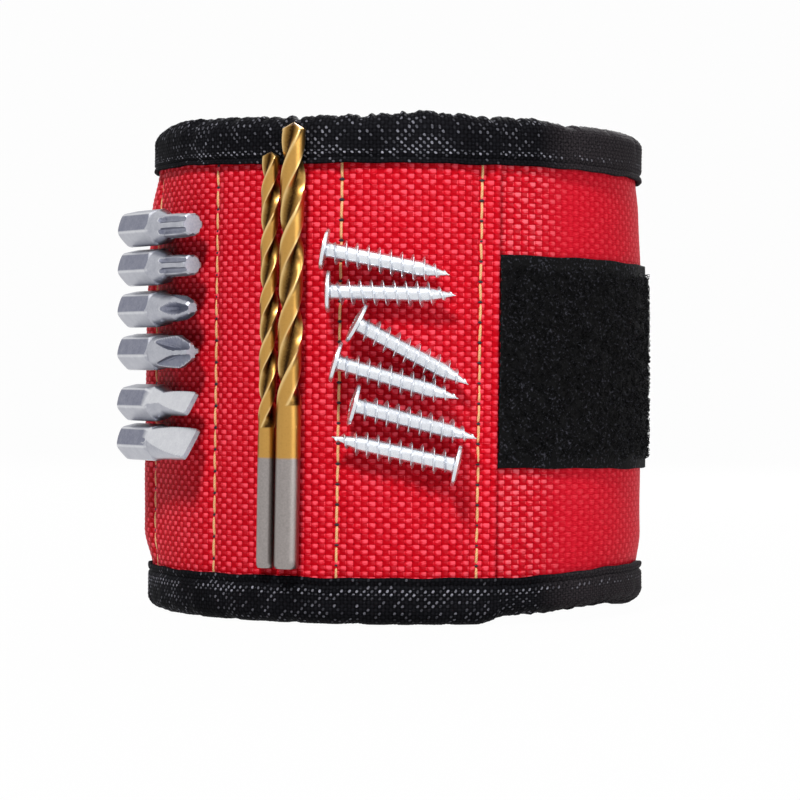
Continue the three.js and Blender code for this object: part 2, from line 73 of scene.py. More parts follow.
# %% Read the ring's axis, radii and heights
cover_low, cover_high = box("base_cover_front")
AXIS = (cover_low + cover_high) / 2
LINING_THICKNESS = 0.6
COVER_THICKNESS = 0.6
BINDING_THICKNESS = 0.8
PLY_GAP = 0.2
SEAT_GAP = 0.3
COVER_RADIUS = (cover_high[1] - cover_low[1]) / 2
PANEL_RADIUS = AXIS[1] - box("magnet_panel_front")[0][1]
RIM_RADIUS = AXIS[1] - box("top_edge_tape_front")[0][1]
LINING_RADIUS = (box("lining_front")[1] - box("lining_front")[0])[1] / 2 - LINING_THICKNESS
COVER_SKIN = COVER_RADIUS - LINING_RADIUS
PANEL_SKIN = PANEL_RADIUS - LINING_RADIUS
STAND_OFF = RIM_RADIUS - PANEL_RADIUS
COVER_OFFSET = COVER_SKIN - COVER_THICKNESS
TAB_LIFT = box("tab_cover")[1][1] - AXIS[1] - PANEL_RADIUS
BAND_HEIGHT = box("top_edge_tape_front")[1][2]
TOP_TAPE_EDGE = box("top_edge_tape_front")[0][2]
BOTTOM_TAPE_EDGE = box("bottom_edge_tape_front")[1][2]

SEAM_ANGLES = (18.3, -13.2, -46, -77, -109, -141)
PANEL_EDGE_ANGLE = 22.3
SKIN_STEP_END = 23.5
INNER_END_ANGLE = 190
LINING_END_ANGLE = -165
TAB_TIP_ANGLE = -240
CUT_BACK = 1.5
PLY_STEP_TURN = 1.2
LIFT_START_ANGLE = -138
LIFT_END_ANGLE = -166
PINCH_LEFT, PINCH_RIGHT = 0.85, 0.5
PINCH_TURNS, PINCH_HEIGHTS = (40, 80), (62, 86)
SWELL_LEFT, SWELL_RIGHT, SWELL_HEIGHTS = (-128, -98, -88, -68), (28, 75, 98, 115), (7, 15, 75, 83)
LEFT_SWELL, LEFT_SWELL_LOST = 1.7, 0.6
RIGHT_SWELL, RIGHT_SWELL_LOST = 0.9, 0.45
print("axis", AXIS[:2], "radii", LINING_RADIUS, COVER_RADIUS, PANEL_RADIUS, RIM_RADIUS, "lift", TAB_LIFT)


# %% Turn an angle, an offset and a height into a point
def smooth_step(value, low, high):
    """0 below low, 1 above high, and a cubic ease between them."""
    share = np.clip((value - low) / (high - low), 0, 1)
    return share * share * (3 - 2 * share)


def plateau(value, low, first, last, high):
    """1 from first to last and 0 outside low and high, with a cubic ease between them."""
    return smooth_step(value, low, first) * smooth_step(-value, -high, -last)


def bell(value, width):
    """1 at zero, and down to a third at the width on both sides: e to the minus square."""
    return np.exp(-((value / width) ** 2))


def pinch(angle, z):
    """How far the bound upper edge draws in, at both sides and behind. The front, where the steel
    pieces lie, keeps its radius."""
    left, right = smooth_step(-angle, *PINCH_TURNS), smooth_step(angle, *PINCH_TURNS)
    return -(PINCH_LEFT * left + PINCH_RIGHT * right) * smooth_step(z, *PINCH_HEIGHTS)


def bulge(angle, z):
    """How far the outer plies swell at the left and the right side, between the two tapes, and more
    in the lower half than in the upper one."""
    left = plateau(angle, *SWELL_LEFT) * (LEFT_SWELL - LEFT_SWELL_LOST * smooth_step(z, 35, 80))
    right = plateau(angle, *SWELL_RIGHT) * (RIGHT_SWELL - RIGHT_SWELL_LOST * smooth_step(z, 45, 80))
    return (left + right) * plateau(z, *SWELL_HEIGHTS)


def strap(angle, offset, z):
    """A point of the strap: turned by the angle about the axis, at the lining's radius plus the lift
    of the rear spiral plus the pinch plus the offset, at height z."""
    lift = TAB_LIFT * smooth_step(-angle, -LIFT_START_ANGLE, -LIFT_END_ANGLE)
    radius = LINING_RADIUS + lift + offset + pinch(angle, z)
    a = np.radians(angle)
    x, y, z = np.broadcast_arrays(AXIS[0] + radius * np.sin(a), AXIS[1] - radius * np.cos(a), z)
    return np.stack([x, y, z], -1)


def outward(angle):
    """The unit vector that points out of the ring at an angle."""
    a = math.radians(angle)
    return np.array([math.sin(a), -math.cos(a), 0])


def along(angle):
    """The unit vector along the strap at an angle, towards larger angles."""
    a = math.radians(angle)
    return np.array([math.cos(a), math.sin(a), 0])


def length_at(angle):
    """Length along the panel's face from the front to an angle."""
    return np.radians(angle) * PANEL_RADIUS


def angle_at(length):
    """The angle that lies a length along the panel's face."""
    return np.degrees(length / PANEL_RADIUS)


def skin(angle):
    """How far out the fabric's outside face is: it steps down where the magnet panel ends."""
    return PANEL_SKIN + (COVER_SKIN - PANEL_SKIN) * smooth_step(angle, PANEL_EDGE_ANGLE, SKIN_STEP_END)


def inside_face(angle):
    """How far out the fabric's inside face is: it steps out where the lining and the pads end."""
    return COVER_OFFSET * smooth_step(-angle, -LINING_END_ANGLE, PLY_STEP_TURN - LINING_END_ANGLE)


# %% [markdown]
# ## The camera
# The photograph was taken from far away, level with the middle of the band: both edges curve away
# from the middle by nearly the same amount. A long lens at that distance gives the same curves.

# %% Place the camera
CAMERA_DISTANCE = 600
CAMERA_HEIGHT = 44.5
CAMERA_SIDE = 0.35
AIM_HEIGHT = 39.5
FOCAL_PIXELS = 3136
PHOTO_PIXELS = 800
SENSOR_WIDTH = 36
ROLL = math.radians(0.35)


def look_from(eye, aim, roll=0.0):
    """The matrix of a camera or a lamp at the eye: its Z points away from the aim, and its X is square
    to that and to the upright, which is turned by the roll."""
    back = (eye - aim) / np.linalg.norm(eye - aim)
    side = np.cross([-math.sin(roll), 0, math.cos(roll)], back)
    side /= np.linalg.norm(side)
    pose = np.eye(4)
    pose[:3] = np.stack([side, np.cross(back, side), back, eye * MM], 1)
    return pose.T.tolist()


camera_data = bpy.data.cameras.new("camera")
camera_data.sensor_width = SENSOR_WIDTH
camera_data.lens = FOCAL_PIXELS / PHOTO_PIXELS * SENSOR_WIDTH
camera = bpy.data.objects.new("camera", camera_data)
bpy.context.scene.collection.objects.link(camera)
eye = AXIS * [1, 1, 0] + [CAMERA_SIDE, -CAMERA_DISTANCE, CAMERA_HEIGHT]
aim = AXIS * [1, 1, 0] + [CAMERA_SIDE, 0, AIM_HEIGHT]
camera.matrix_world = look_from(eye, aim, ROLL)
bpy.context.scene.camera = camera
print("lens", camera_data.lens)

# %% [markdown]
# ## Making meshes from arrays
# A cloth wall with a weave has tens of thousands of points, so nothing here loops over vertices.
# A shape is one array of points on a grid of rows and columns, and its faces are counted out by
# arithmetic. A tube is such a grid carried along a path, and many tubes are made at once.


# %% Grids, tubes and pieces
def grid_faces(rows, columns, wrap_rows=False, wrap_columns=False, flip=False):
    """The corners of the quads between neighbouring grid points, which are numbered row by row."""
    r = np.arange(rows if wrap_rows else rows - 1)[:, None]
    c = np.arange(columns if wrap_columns else columns - 1)[None, :]
    corners = [(r, c), (r, c + 1), (r + 1, c + 1), (r + 1, c)]
    index = [(i % rows) * columns + (j % columns) for i, j in corners]
    return np.stack(index[::-1] if flip else index, -1).reshape(-1, 4)


def make_mesh(name, points, faces, uv=None, floats=None):
    """A mesh from points [n, 3] in millimetres and a list of face arrays [m, corners]. uv has one
    pair for each point, and floats holds named numbers for each point."""
    mesh = bpy.data.meshes.new(name)
    mesh.vertices.add(len(points))
    mesh.vertices.foreach_set("co", (points * MM).astype(np.float32).ravel())
    index = np.concatenate([f.ravel() for f in faces])
    sizes = np.concatenate([np.full(len(f), f.shape[1]) for f in faces])
    mesh.loops.add(len(index))
    mesh.loops.foreach_set("vertex_index", index.astype(np.int32))
    mesh.polygons.add(len(sizes))
    starts = np.concatenate([[0], np.cumsum(sizes)[:-1]])
    mesh.polygons.foreach_set("loop_start", starts.astype(np.int32))
    mesh.polygons.foreach_set("use_smooth", np.ones(len(sizes), bool))
    if uv is not None:
        layer = mesh.uv_layers.new(name="Weave")
        layer.data.foreach_set("uv", uv[index].astype(np.float32).ravel())
    for key, values in (floats or {}).items():
        mesh.attributes.new(key, "FLOAT", "POINT").data.foreach_set("value", values.astype(np.float32))
    mesh.update(calc_edges=True)
    mesh.validate()
    return mesh


def wall_mesh(name, points, turns=None, **how):
    """A mesh from points on one grid of rows and columns, and a uv pair for each of them."""
    uv = None if turns is None else np.stack(np.broadcast_arrays(*turns), -1).reshape(-1, 2)
    return make_mesh(name, points.reshape(-1, 3), [grid_faces(*points.shape[:2], **how)], uv)


def make_piece(mesh, material, body=None, replaces=()):
    """An object of the mesh's name, with its material, that rides on a body and stands for nodes."""
    obj = bpy.data.objects.new(mesh.name, mesh)
    bpy.context.scene.collection.objects.link(obj)
    mesh.materials.append(material)
    if replaces:
        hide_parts(*replaces)
    if body:
        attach(obj, body)
    return obj


def tubes(paths, radius, sides, side_hint):
    """Tubes along paths [n, steps, 3]: at each step a ring of points stands square to the path.
    radius is a number or has one value for each step. Returns points, faces and a (round, along) uv."""
    count, steps = paths.shape[:2]
    tangent = np.gradient(paths, axis=1)
    tangent /= np.linalg.norm(tangent, axis=-1, keepdims=True) + 1e-12
    across = np.cross(tangent, np.broadcast_to(side_hint, tangent.shape))
    across /= np.linalg.norm(across, axis=-1, keepdims=True) + 1e-12
    up = np.cross(across, tangent)
    turn = 2 * np.pi * np.arange(sides) / sides
    r = np.broadcast_to(radius, (count, steps))[..., None, None]
    ring = across[..., None, :] * np.cos(turn)[:, None] + up[..., None, :] * np.sin(turn)[:, None]
    points = (paths[..., None, :] + ring * r).reshape(-1, 3)
    walls = grid_faces(steps, sides, wrap_columns=True, flip=True)
    first = np.arange(sides)[None, :]
    last = (steps - 1) * sides + np.arange(sides)[None, ::-1]
    jump = (np.arange(count) * steps * sides)[:, None, None]
    faces = [(f[None] + jump).reshape(-1, f.shape[1]) for f in (walls, first, last)]
    gone = np.linalg.norm(np.diff(paths, axis=1), axis=-1).cumsum(1)
    run = np.concatenate([np.zeros((count, 1)), gone], axis=1)
    uv = np.stack(np.broadcast_arrays(turn / (2 * np.pi), run[..., None]), -1).reshape(-1, 2)
    return points, faces, uv


def waver(place, lengths, seed):
    """A smooth irregular wave from -1 to 1: sines of the given wavelengths, with seeded phases."""
    phases = np.random.default_rng(seed).uniform(0, 2 * np.pi, len(lengths))
    return sum(np.sin(2 * np.pi * place / w + p) for w, p in zip(lengths, phases)) / len(lengths)


# %% [markdown]
# ## Shader maths as Python
# A procedural material is arithmetic on coordinates. A small class wraps a socket and lets Python's
# own operators add the Math nodes, so a pattern reads as a formula.


# %% A socket with operators, and a material that makes nodes
class Wire:
    """A number in a material's node tree."""

    def __init__(self, paint, socket):
        self.paint, self.socket = paint, socket

    def math(self, operation, *values):
        node = self.paint.node("ShaderNodeMath", {"operation": operation}, dict(enumerate([self, *values])))
        return Wire(self.paint, node.outputs[0])

    def __rsub__(self, other):
        return self.math("MULTIPLY", -1).math("ADD", other)

    def arch(self):
        """A sine arch over each whole number."""
        return (self.part() * math.pi).math("SINE")


OPERATIONS = {
    "__add__": "ADD", "__radd__": "ADD", "__sub__": "SUBTRACT", "__mul__": "MULTIPLY", "__rmul__": "MULTIPLY",
    "__gt__": "GREATER_THAN", "__lt__": "LESS_THAN", "floor": "FLOOR", "part": "FRACT",
}
for method, operation in OPERATIONS.items():
    setattr(Wire, method, lambda self, *values, operation=operation: self.math(operation, *values))


class Paint:
    """A material with one glossy-and-diffuse shader, whose nodes are made by one method."""

    def __init__(self, name, constants=None):
        self.material = bpy.data.materials.new(name)
        self.material.use_nodes = True
        self.tree = self.material.node_tree
        self.shader = self.tree.nodes["Principled BSDF"]
        for key, value in (constants or {}).items():
            self.shader.inputs[key].default_value = value

    def node(self, kind, settings, sockets):
        """A node of that kind: its settings are set first, then its sockets get values or links."""
        made = self.tree.nodes.new(kind)
        for key, value in settings.items():
            setattr(made, key, value)
        for key, value in sockets.items():
            self.plug(made.inputs[key], value)
        return made

    def plug(self, socket, value):
        """Links a wire or a socket, or sets a plain value."""
        if isinstance(value, Wire):
            value = value.socket
        if isinstance(value, bpy.types.NodeSocket):
            self.tree.links.new(value, socket)
        else:
            socket.default_value = value

    def uv(self):
        """The two numbers of the piece's own pattern coordinates."""
        source = self.node("ShaderNodeUVMap", {"uv_map": "Weave"}, {})
        split = self.node("ShaderNodeSeparateXYZ", {}, {0: source.outputs[0]})
        return Wire(self, split.outputs[0]), Wire(self, split.outputs[1])

    def place(self):
        """The place on the object, in metres."""
        return self.node("ShaderNodeTexCoord", {}, {}).outputs["Object"]

    def noise(self, scale, detail=2.0, vector=None):
        """Smooth noise from 0 to 1, over the place on the object if no vector is given."""
        vector = self.place() if vector is None else vector
        sockets = {"Vector": vector, "Scale": scale, "Detail": detail}
        return Wire(self, self.node("ShaderNodeTexNoise", {}, sockets).outputs[0])

    def attribute(self, name):
        """A number that the mesh holds for each point."""
        return Wire(self, self.node("ShaderNodeAttribute", {"attribute_name": name}, {}).outputs["Fac"])

    def draw(self, u, v):
        """A random number for each cell of a pattern that counts cells."""
        sockets = {"Vector": self.vector(u.floor(), v.floor())}
        node = self.node("ShaderNodeTexWhiteNoise", {"noise_dimensions": "2D"}, sockets)
        return Wire(self, node.outputs[0])

    def vector(self, x, y, z=0.0):
        return self.node("ShaderNodeCombineXYZ", {}, {0: x, 1: y, 2: z}).outputs[0]

    def mix(self, share, low, high):
        """A colour between low and high."""
        node = self.node("ShaderNodeMix", {"data_type": "RGBA"}, {0: share, 6: low, 7: high})
        return node.outputs[2]

    def blend(self, share, low, high):
        """A number between low and high."""
        return Wire(self, self.node("ShaderNodeMix", {}, {0: share, 2: low, 3: high}).outputs[0])

    def bump(self, height, distance, strength=1.0):
        """Plugs a bump of that height, in millimetres, into the shader."""
        sockets = {"Height": height, "Distance": distance * MM, "Strength": strength}
        self.plug(self.shader.inputs["Normal"], self.node("ShaderNodeBump", {}, sockets).outputs[0])

    def finish(self, colour, roughness):
        self.plug(self.shader.inputs["Base Color"], colour)
        self.plug(self.shader.inputs["Roughness"], roughness)
        return self.material


def tone(red, green, blue):
    """A colour written as it looks on a screen, from 0 to 255, as linear light."""
    light = [((c / 255 + 0.055) / 1.055) ** 2.4 if c > 10 else c / 255 / 12.92 for c in (red, green, blue)]
    return (*light, 1.0)


# %% [markdown]
# ## Woven red nylon
# The cover is a coarse plain weave of flat glossy yarns. At each crossing one yarn crowns and the
# next one dips, by turns, which gives the chequered sparkle of the photograph. The crowns are real
# geometry, a quarter of a millimetre high. The material adds what is finer: filaments along each
# yarn, painted shade in the gaps between yarns, and paler, glossier crowns, whose paleness is a
# painted highlight. On the right flank the crowns are built low, and cloth and tape are painted
# plainer and lighter there: painted light.

# %% The weave's formula, in geometry and in the material
WARP_CELL = 1.3
COARSE_WARP_CELL = 1.54
WEFT_CELL = 0.95
CROWN = 0.24
UPRIGHT_WAVE = 0.22
UPRIGHT_SINK = 0.1
FLANK_SPAN = (26, 34, 74, 86)
FLANK_FLAT = 0.8


def plain_weave(u, v):
    """Two sets of yarns with round backs. The crosswise yarns wave by a sine along u and the upright
    ones by a sine along v, over and under by turns, and the upper yarn shows. The crosswise ones
    crown higher, so their floats look longer."""
    across = 0.5 * np.sin(np.pi * u) * np.cos(np.pi * np.floor(v)) + 0.5 * np.sin(np.pi * (v % 1)) ** 0.8
    upright = -UPRIGHT_WAVE * np.sin(np.pi * v) * np.cos(np.pi * np.floor(u))
    return np.maximum(across, upright + 0.5 * np.sin(np.pi * (u % 1)) ** 0.8 - UPRIGHT_SINK)


def woven_wires(paint):
    """The same weave as wires: its height from 0 to 1, whether the crosswise yarn is on top, and a
    noise stretched along the upper yarn, which draws its filaments. A slow noise shifts the pattern a
    little, as no yarn lies quite straight."""
    u, v = paint.uv()
    u = u + (paint.noise(330.0, 1.0) - 0.5) * 0.5
    v = v + (paint.noise(410.0, 1.0) - 0.5) * 0.4
    odd_row = (v.floor() * 0.5).part() * 4 - 1
    odd_column = (u.floor() * 0.5).part() * 4 - 1
    across = (u * math.pi).math("SINE") * odd_row * -0.5 + v.arch().math("POWER", 0.6) * 0.5
    upright = (v * math.pi).math("SINE") * odd_column * UPRIGHT_WAVE + u.arch().math("POWER", 0.6) * 0.5
    upright = upright - UPRIGHT_SINK
    on_top = across > upright
    lengthwise = paint.noise(1.0, 3.0, paint.vector(u * 1.1, v * 11))
    crosswise = paint.noise(1.0, 3.0, paint.vector(u * 11, v * 1.1))
    height = across.math("MAXIMUM", upright).math("MAXIMUM", 0)
    return height, on_top, paint.blend(on_top, crosswise, lengthwise)


def clamp(wire):
    return wire.math("MAXIMUM", 0).math("MINIMUM", 1)


def painted_flank_light(length):
    """1 on the right flank, where cloth and tape are painted plainer and lighter as painted light, and 0
    elsewhere, by length in mm: two clamped slopes.
    """
    low, first, last, high = FLANK_SPAN
    rising = clamp((length - low) * (1 / (first - low)))
    return rising * clamp((length * -1 + high) * (1 / (high - last)))


def flank_share(length):
    """The same as an array, with eased slopes."""
    return plateau(length, *FLANK_SPAN)


def nylon_paint(name, gap_shade, under, base, crown, warp, smooth=None):
    """Red nylon: darker between the yarns as painted shade, deep red where the upright yarns are on top,
    and paler on the crosswise floats, where the crown colour is a painted highlight. The painted
    highlight and shade lean across each float, so its upper right is the palest and its lower left
    fades out. Filaments streak it along its length. Where smooth is given, the right flank is painted
    in those plainer, lighter colours: painted light."""
    paint = Paint(name, {"Specular IOR Level": 0.03})
    height, on_top, strand = woven_wires(paint)
    u, v = paint.uv()
    # Painted light and shade: highlight_slant makes each float palest at its upper right and darker at its
    # lower left.
    highlight_slant = (v.part() - 0.5) * 0.75 + (u.part() - 0.5) * 0.65
    patch = paint.noise(90.0)
    fleck = paint.noise(1.0, 2.0, paint.vector(u * 1.3, v * 7))
    draw = paint.draw(u, v)
    body = paint.mix(on_top, under, base)
    # Painted shade: the colour goes towards the gap colour where the weave is low.
    shade = clamp(height * 2.4 + highlight_slant * on_top * 1.2 + (strand - 0.5) * 1.4)
    flank = paint.mix(shade, gap_shade, body)
    uneven = (fleck - 0.5) * 2.8 + (patch - 0.5) * 0.9 + (draw - 0.5) * 0.7
    # Painted highlight: lit mixes the crown colour onto the floats, most at their upper right.
    lit = clamp((height - 0.6) * 1.8 + highlight_slant * 2.1 + uneven)
    paint.bump(height * 0.4 + strand * 0.4, 0.12, 0.6)
    colour = paint.mix(lit * (on_top * 0.75 + 0.25), flank, crown)
    # Painted light: on the right flank the colour goes to a plainer, lighter red.
    if smooth:
        plain = paint.mix(clamp((fleck - 0.5) * 2.0 + height * 0.5), *smooth)
        colour = paint.mix(painted_flank_light(u * warp) * 0.86, colour, plain)
    return paint.finish(colour, paint.blend(height, 0.62, 0.42))


# Colours: painted shade in the gaps, the red of the upright yarns, the red of the crosswise ones and the
# crowns' painted highlight. The coarse cloth also has the plainer, lighter red of its right flank, which is
# painted light.
red_nylon = nylon_paint(
    "woven_red_nylon", tone(144, 0, 12), tone(190, 5, 22), tone(211, 16, 34), tone(252, 84, 100), WARP_CELL
)
coarse_nylon = nylon_paint(
    "coarse_red_nylon", tone(142, 0, 12), tone(190, 6, 24), tone(216, 18, 38), tone(255, 110, 122),
    COARSE_WARP_CELL, (tone(200, 12, 32), tone(250, 46, 68)),
)


# %% [markdown]
# ## The magnet panel and the covers
# The panel is a second red cloth sewn over the base cover. Its sewn lines pull in and the magnets
# between them hold each channel out. Its right end is folded under, as a hem. The cloth crosses
# both folds of the strap, so it is made in three lengths that meet under the rear seams.


# %% Grid lines, the shape of the channels and one woven wall
SEAM_PULL = 0.62
SEAM_REACH = 1.5
SEAM_LEAN = 0.0096
STITCH_PITCH = 3.95
FINE_PITCH = 3.6
CHANNEL_SWELL = 0.1
CLOTH_BOTTOM = 4.8
CLOTH_TOP = BAND_HEIGHT - 3.4
UNDER_TAPE = 1.4
PANEL_EDGE = length_at(PANEL_EDGE_ANGLE)
HEM_REACH = 8
HEM_RIDGE = (0.32, 0.45)


def weave_lines(low, high, cell, parts):
    """Grid lines at the middle of each part of a yarn's width, with the two ends."""
    step = cell / parts
    lines = (np.arange(math.ceil(low / step), math.floor(high / step) + 1) + 0.5) * step
    inside = lines[(lines > low + step / 4) & (lines < high - step / 4)]
    return np.concatenate([[low], inside, [high]])


shown_rows = weave_lines(BOTTOM_TAPE_EDGE - UNDER_TAPE, TOP_TAPE_EDGE + UNDER_TAPE, WEFT_CELL, 3)
cloth_rows = np.concatenate([[CLOTH_BOTTOM], shown_rows, [CLOTH_TOP]])


def lean(z):
    """How far along the strap a sewn line or a cut edge has moved at height z: none is quite upright."""
    return SEAM_LEAN * (z - BAND_HEIGHT / 2)


def channel_shape(angle, z):
    """The nearest seam pulls the cloth in as a bell curve of its distance, less between stitches.
    Away from the seams the cloth swells a little."""
    near = np.minimum.reduce([np.abs(length_at(angle - seam) - lean(z)) for seam in SEAM_ANGLES])
    pull = SEAM_PULL * (0.88 + 0.12 * np.cos(2 * np.pi * z / STITCH_PITCH))
    return CHANNEL_SWELL - (pull + CHANNEL_SWELL) * bell(near, SEAM_REACH)


def woven_wall(name, lengths, offset, seed, warp=WARP_CELL, channels=False, hem=()):
    """A woven cloth at an offset. lengths are its grid lines along the strap. hem lists further
    columns as (length, offset) pairs, which carry the cloth round its folded end. The columns near
    that end lean as the seams do."""
    s, z = np.meshgrid(np.concatenate([lengths, [side for side, _ in hem]]), cloth_rows)
    shape = np.concatenate([np.full(len(lengths), offset), [out for _, out in hem]]) + 0 * z
    angle = angle_at(s)
    if hem:
        angle = angle_at(s + lean(z) * smooth_step(s, PANEL_EDGE - HEM_REACH, PANEL_EDGE))
    ripple = 0.1 * waver(s + 0.3 * z, (19, 31, 47), seed) + 0.06 * waver(z - 0.2 * s, (13, 29), seed + 1)
    ripple = ripple + bulge(angle, z)
    if channels:
        shape = shape + channel_shape(angle, z)
    if hem:
        ridge, reach = HEM_RIDGE
        shape = shape + ridge * bell(s - PANEL_EDGE + reach, reach)
    weave = plain_weave(s / warp, z / WEFT_CELL) * CROWN * (1 - FLANK_FLAT * flank_share(s))
    points = strap(angle, shape + ripple + weave - CROWN * 0.7, z)
    return wall_mesh(name, points, (s / warp, z / WEFT_CELL))


def wall_end(angle):
    """The length along the strap at an angle. Near the strap's ends it is cut back under the tape."""
    return length_at(np.clip(angle, TAB_TIP_ANGLE + CUT_BACK, INNER_END_ANGLE - CUT_BACK))


WING_FOLD = ("band", "wing", -109.5, -118)
TAB_FOLD = ("wing", "tab", -170.5, -179)


def fold_line(obj, first, second, start_angle, end_angle):
    """Bakes the piece's placement into its mesh. The strap's points at start_angle and end_angle are
    worked out and not used. first and second are not used.
    """
    ends = [strap(np.float64(a), PANEL_SKIN, BAND_HEIGHT / 2) * MM for a in (start_angle, end_angle)]
    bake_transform(obj)


def cloth_piece(mesh, material, nodes, start, stop, body=None, fold=None):
    """A cloth that rides on a body, or whose placement is baked into its mesh where a fold is given. It
    works out the flat size that it was cut to: its length along the strap between two angles, and its
    height."""
    piece = make_piece(mesh, material, body, nodes)
    if fold:
        fold_line(piece, *fold)
    flat = (abs(length_at(start) - length_at(stop)) * MM, (CLOTH_TOP - CLOTH_BOTTOM) * MM)
    print(mesh.name, 2 * len(mesh.polygons), "triangles")


# %% The panel in three lengths
PANEL_SEED = 11
HEM = [(0.2, -0.05), (0.34, -0.2), (0.4, -0.4), (0.34, -0.6), (0.2, -0.75), (-0.6, -0.8), (-3, -0.8)]
hem_columns = [(PANEL_EDGE + side, PANEL_SKIN + depth) for side, depth in HEM]
# First and last angle, parts per yarn, hem, body or fold, and the nodes that it stands for
PANELS = {
    "front": (SEAM_ANGLES[4], PANEL_EDGE_ANGLE, 4, hem_columns, "band", None, ["magnet_panel_front"]),
    "rear": (SEAM_ANGLES[5], SEAM_ANGLES[4], 3, (), None, WING_FOLD, ["magnet_panel_wing"]),
    "tail": (TAB_TIP_ANGLE, SEAM_ANGLES[5], 3, (), None, TAB_FOLD, ["tab_cover", "magnet_panel_wing"]),
}
for where, (start, stop, parts, hem, body, fold, nodes) in PANELS.items():
    lines = weave_lines(wall_end(start), wall_end(stop), WARP_CELL, parts)
    mesh = woven_wall(f"woven_panel_{where}", lines, PANEL_SKIN, PANEL_SEED, channels=True, hem=hem)
    cloth_piece(mesh, red_nylon, nodes, start, stop, body, fold)

# %% [markdown]
# ## The base cover
# The base cover is the same cloth, underneath. It shows only to the right of the panel's hem, so its
# weave is fine there and its grid is coarse where the panel hides it.

# %% The base cover in three lengths
COVER_SEED = 23
HIDDEN_STEP = 2.4
HIDDEN_COLUMNS = 24
WING_CLOTH_END = -163.5
# First and last angle, body or fold, and the node that it stands for
COVERS = {
    "front": (SEAM_ANGLES[4], INNER_END_ANGLE, "band", None, "base_cover_front"),
    "rear": (SEAM_ANGLES[5], SEAM_ANGLES[4], None, WING_FOLD, "base_cover_wing"),
    "wing": (WING_CLOTH_END, SEAM_ANGLES[5], "wing", None, "base_cover_wing"),
}
for where, (start, stop, body, fold, node) in COVERS.items():
    warp, lines = WARP_CELL, np.linspace(length_at(start), length_at(stop), HIDDEN_COLUMNS)
    if where == "front":
        warp, shown_from = COARSE_WARP_CELL, length_at(SEAM_ANGLES[0])
        hidden = np.arange(length_at(start), shown_from, HIDDEN_STEP)
        lines = np.concatenate([hidden, weave_lines(shown_from, wall_end(stop), warp, 4)])
    mesh = woven_wall(f"base_cloth_{where}", lines, COVER_SKIN, COVER_SEED, warp)
    cloth_piece(mesh, coarse_nylon, [node], start, stop, body, fold)

# %% [markdown]
# ## The lining
# Inside, against the wrist, lies a black spacer mesh: a net of small six-sided holes. Its dimples are
# geometry too, because the inside is seen whenever the band is looked into from above.

# %% Spacer mesh
HOLE_PITCH = 2.6
HOLE_STRETCH = 1.6
HOLE_DEPTH = 0.28
LINING_STEP = 0.52
LINING_SHARE = 0.9
TAB_LINING_END = -161


def net_holes(u, v):
    """Round holes on a staggered grid: 1 at the middle of a hole and 0 on the threads. It is the
    larger of two square grids of cosine bells, the second one shifted by half a hole."""
    one = np.cos(2 * np.pi * u) * 0.5 + np.cos(2 * np.pi * v) * 0.5
    two = np.cos(2 * np.pi * (u + 0.5)) * 0.5 + np.cos(2 * np.pi * (v + 0.5)) * 0.5
    return smooth_step(np.maximum(one, two), 0.1, 0.7)


def net_paint():
    """Black threads round holes painted near-black as painted shade, on the same staggered grid as the
    geometry.
    """
    paint = Paint("spacer_mesh", {"Specular IOR Level": 0.3})
    u, v = paint.uv()
    two_pi = 2 * math.pi
    one = (u * two_pi).math("COSINE") + (v * two_pi).math("COSINE")
    two = ((u + 0.5) * two_pi).math("COSINE") + ((v + 0.5) * two_pi).math("COSINE")
    # Painted shade: the holes are near-black.
    hole = clamp(one.math("MAXIMUM", two) * 0.8 - 0.2)
    fuzz = paint.noise(2.0, 4.0, paint.vector(u * 7, v * 7))
    threads = paint.mix(fuzz, tone(26, 26, 29), tone(60, 60, 64))
    colour = paint.mix(hole, threads, tone(7, 7, 8))
    paint.bump((1 - hole) * 0.6 + fuzz * 0.4, 0.2, 0.8)
    return paint.finish(colour, paint.blend(hole, 0.7, 0.95))


spacer_mesh = net_paint()


def lining_wall(name, start, stop, offset):
    """A wall of spacer mesh: the holes dip away from the wearer, and the seams pull it outwards."""
    start, stop = wall_end(start), wall_end(stop)
    columns = int(abs(stop - start) / LINING_STEP) + 1
    rows = int((CLOTH_TOP - CLOTH_BOTTOM) / LINING_STEP) + 1
    s, z = np.meshgrid(np.linspace(start, stop, columns), np.linspace(CLOTH_BOTTOM, CLOTH_TOP, rows))
    angle = angle_at(s)
    near = length_at(np.minimum.reduce([np.abs(angle - seam) for seam in SEAM_ANGLES]))
    seam = 0.3 * bell(near, 2.2)
    u, v = s / HOLE_PITCH, z / (HOLE_PITCH * HOLE_STRETCH)
    swell = 0.12 * waver(s + z, (23, 37), 31)
    depth = LINING_THICKNESS / 2 + seam + swell + HOLE_DEPTH * net_holes(u, v) - 0.2
    points = strap(angle, offset + depth, z)
    return wall_mesh(name, points, (u, v), flip=True)


# First and last angle, share of that length that is cloth, body or fold, and node
LININGS = {
    "mesh_lining_front": (SEAM_ANGLES[4], INNER_END_ANGLE, LINING_SHARE, "band", None, "lining_front"),
    "mesh_lining_rear": (SEAM_ANGLES[5], SEAM_ANGLES[4], LINING_SHARE, None, WING_FOLD, "lining_wing"),
    "mesh_lining_wing": (LINING_END_ANGLE, SEAM_ANGLES[5], 1, "wing", None, "lining_wing"),
    "mesh_tab_backing": (TAB_TIP_ANGLE, TAB_LINING_END, 1, None, TAB_FOLD, "tab_backing"),
}
for name, (start, stop, share, body, fold, node) in LININGS.items():
    on_tab = node == "tab_backing"
    mesh = lining_wall(name, start, stop, COVER_OFFSET if on_tab else 0)
    cloth_piece(mesh, spacer_mesh, [node], start * share, stop * share, body, fold)

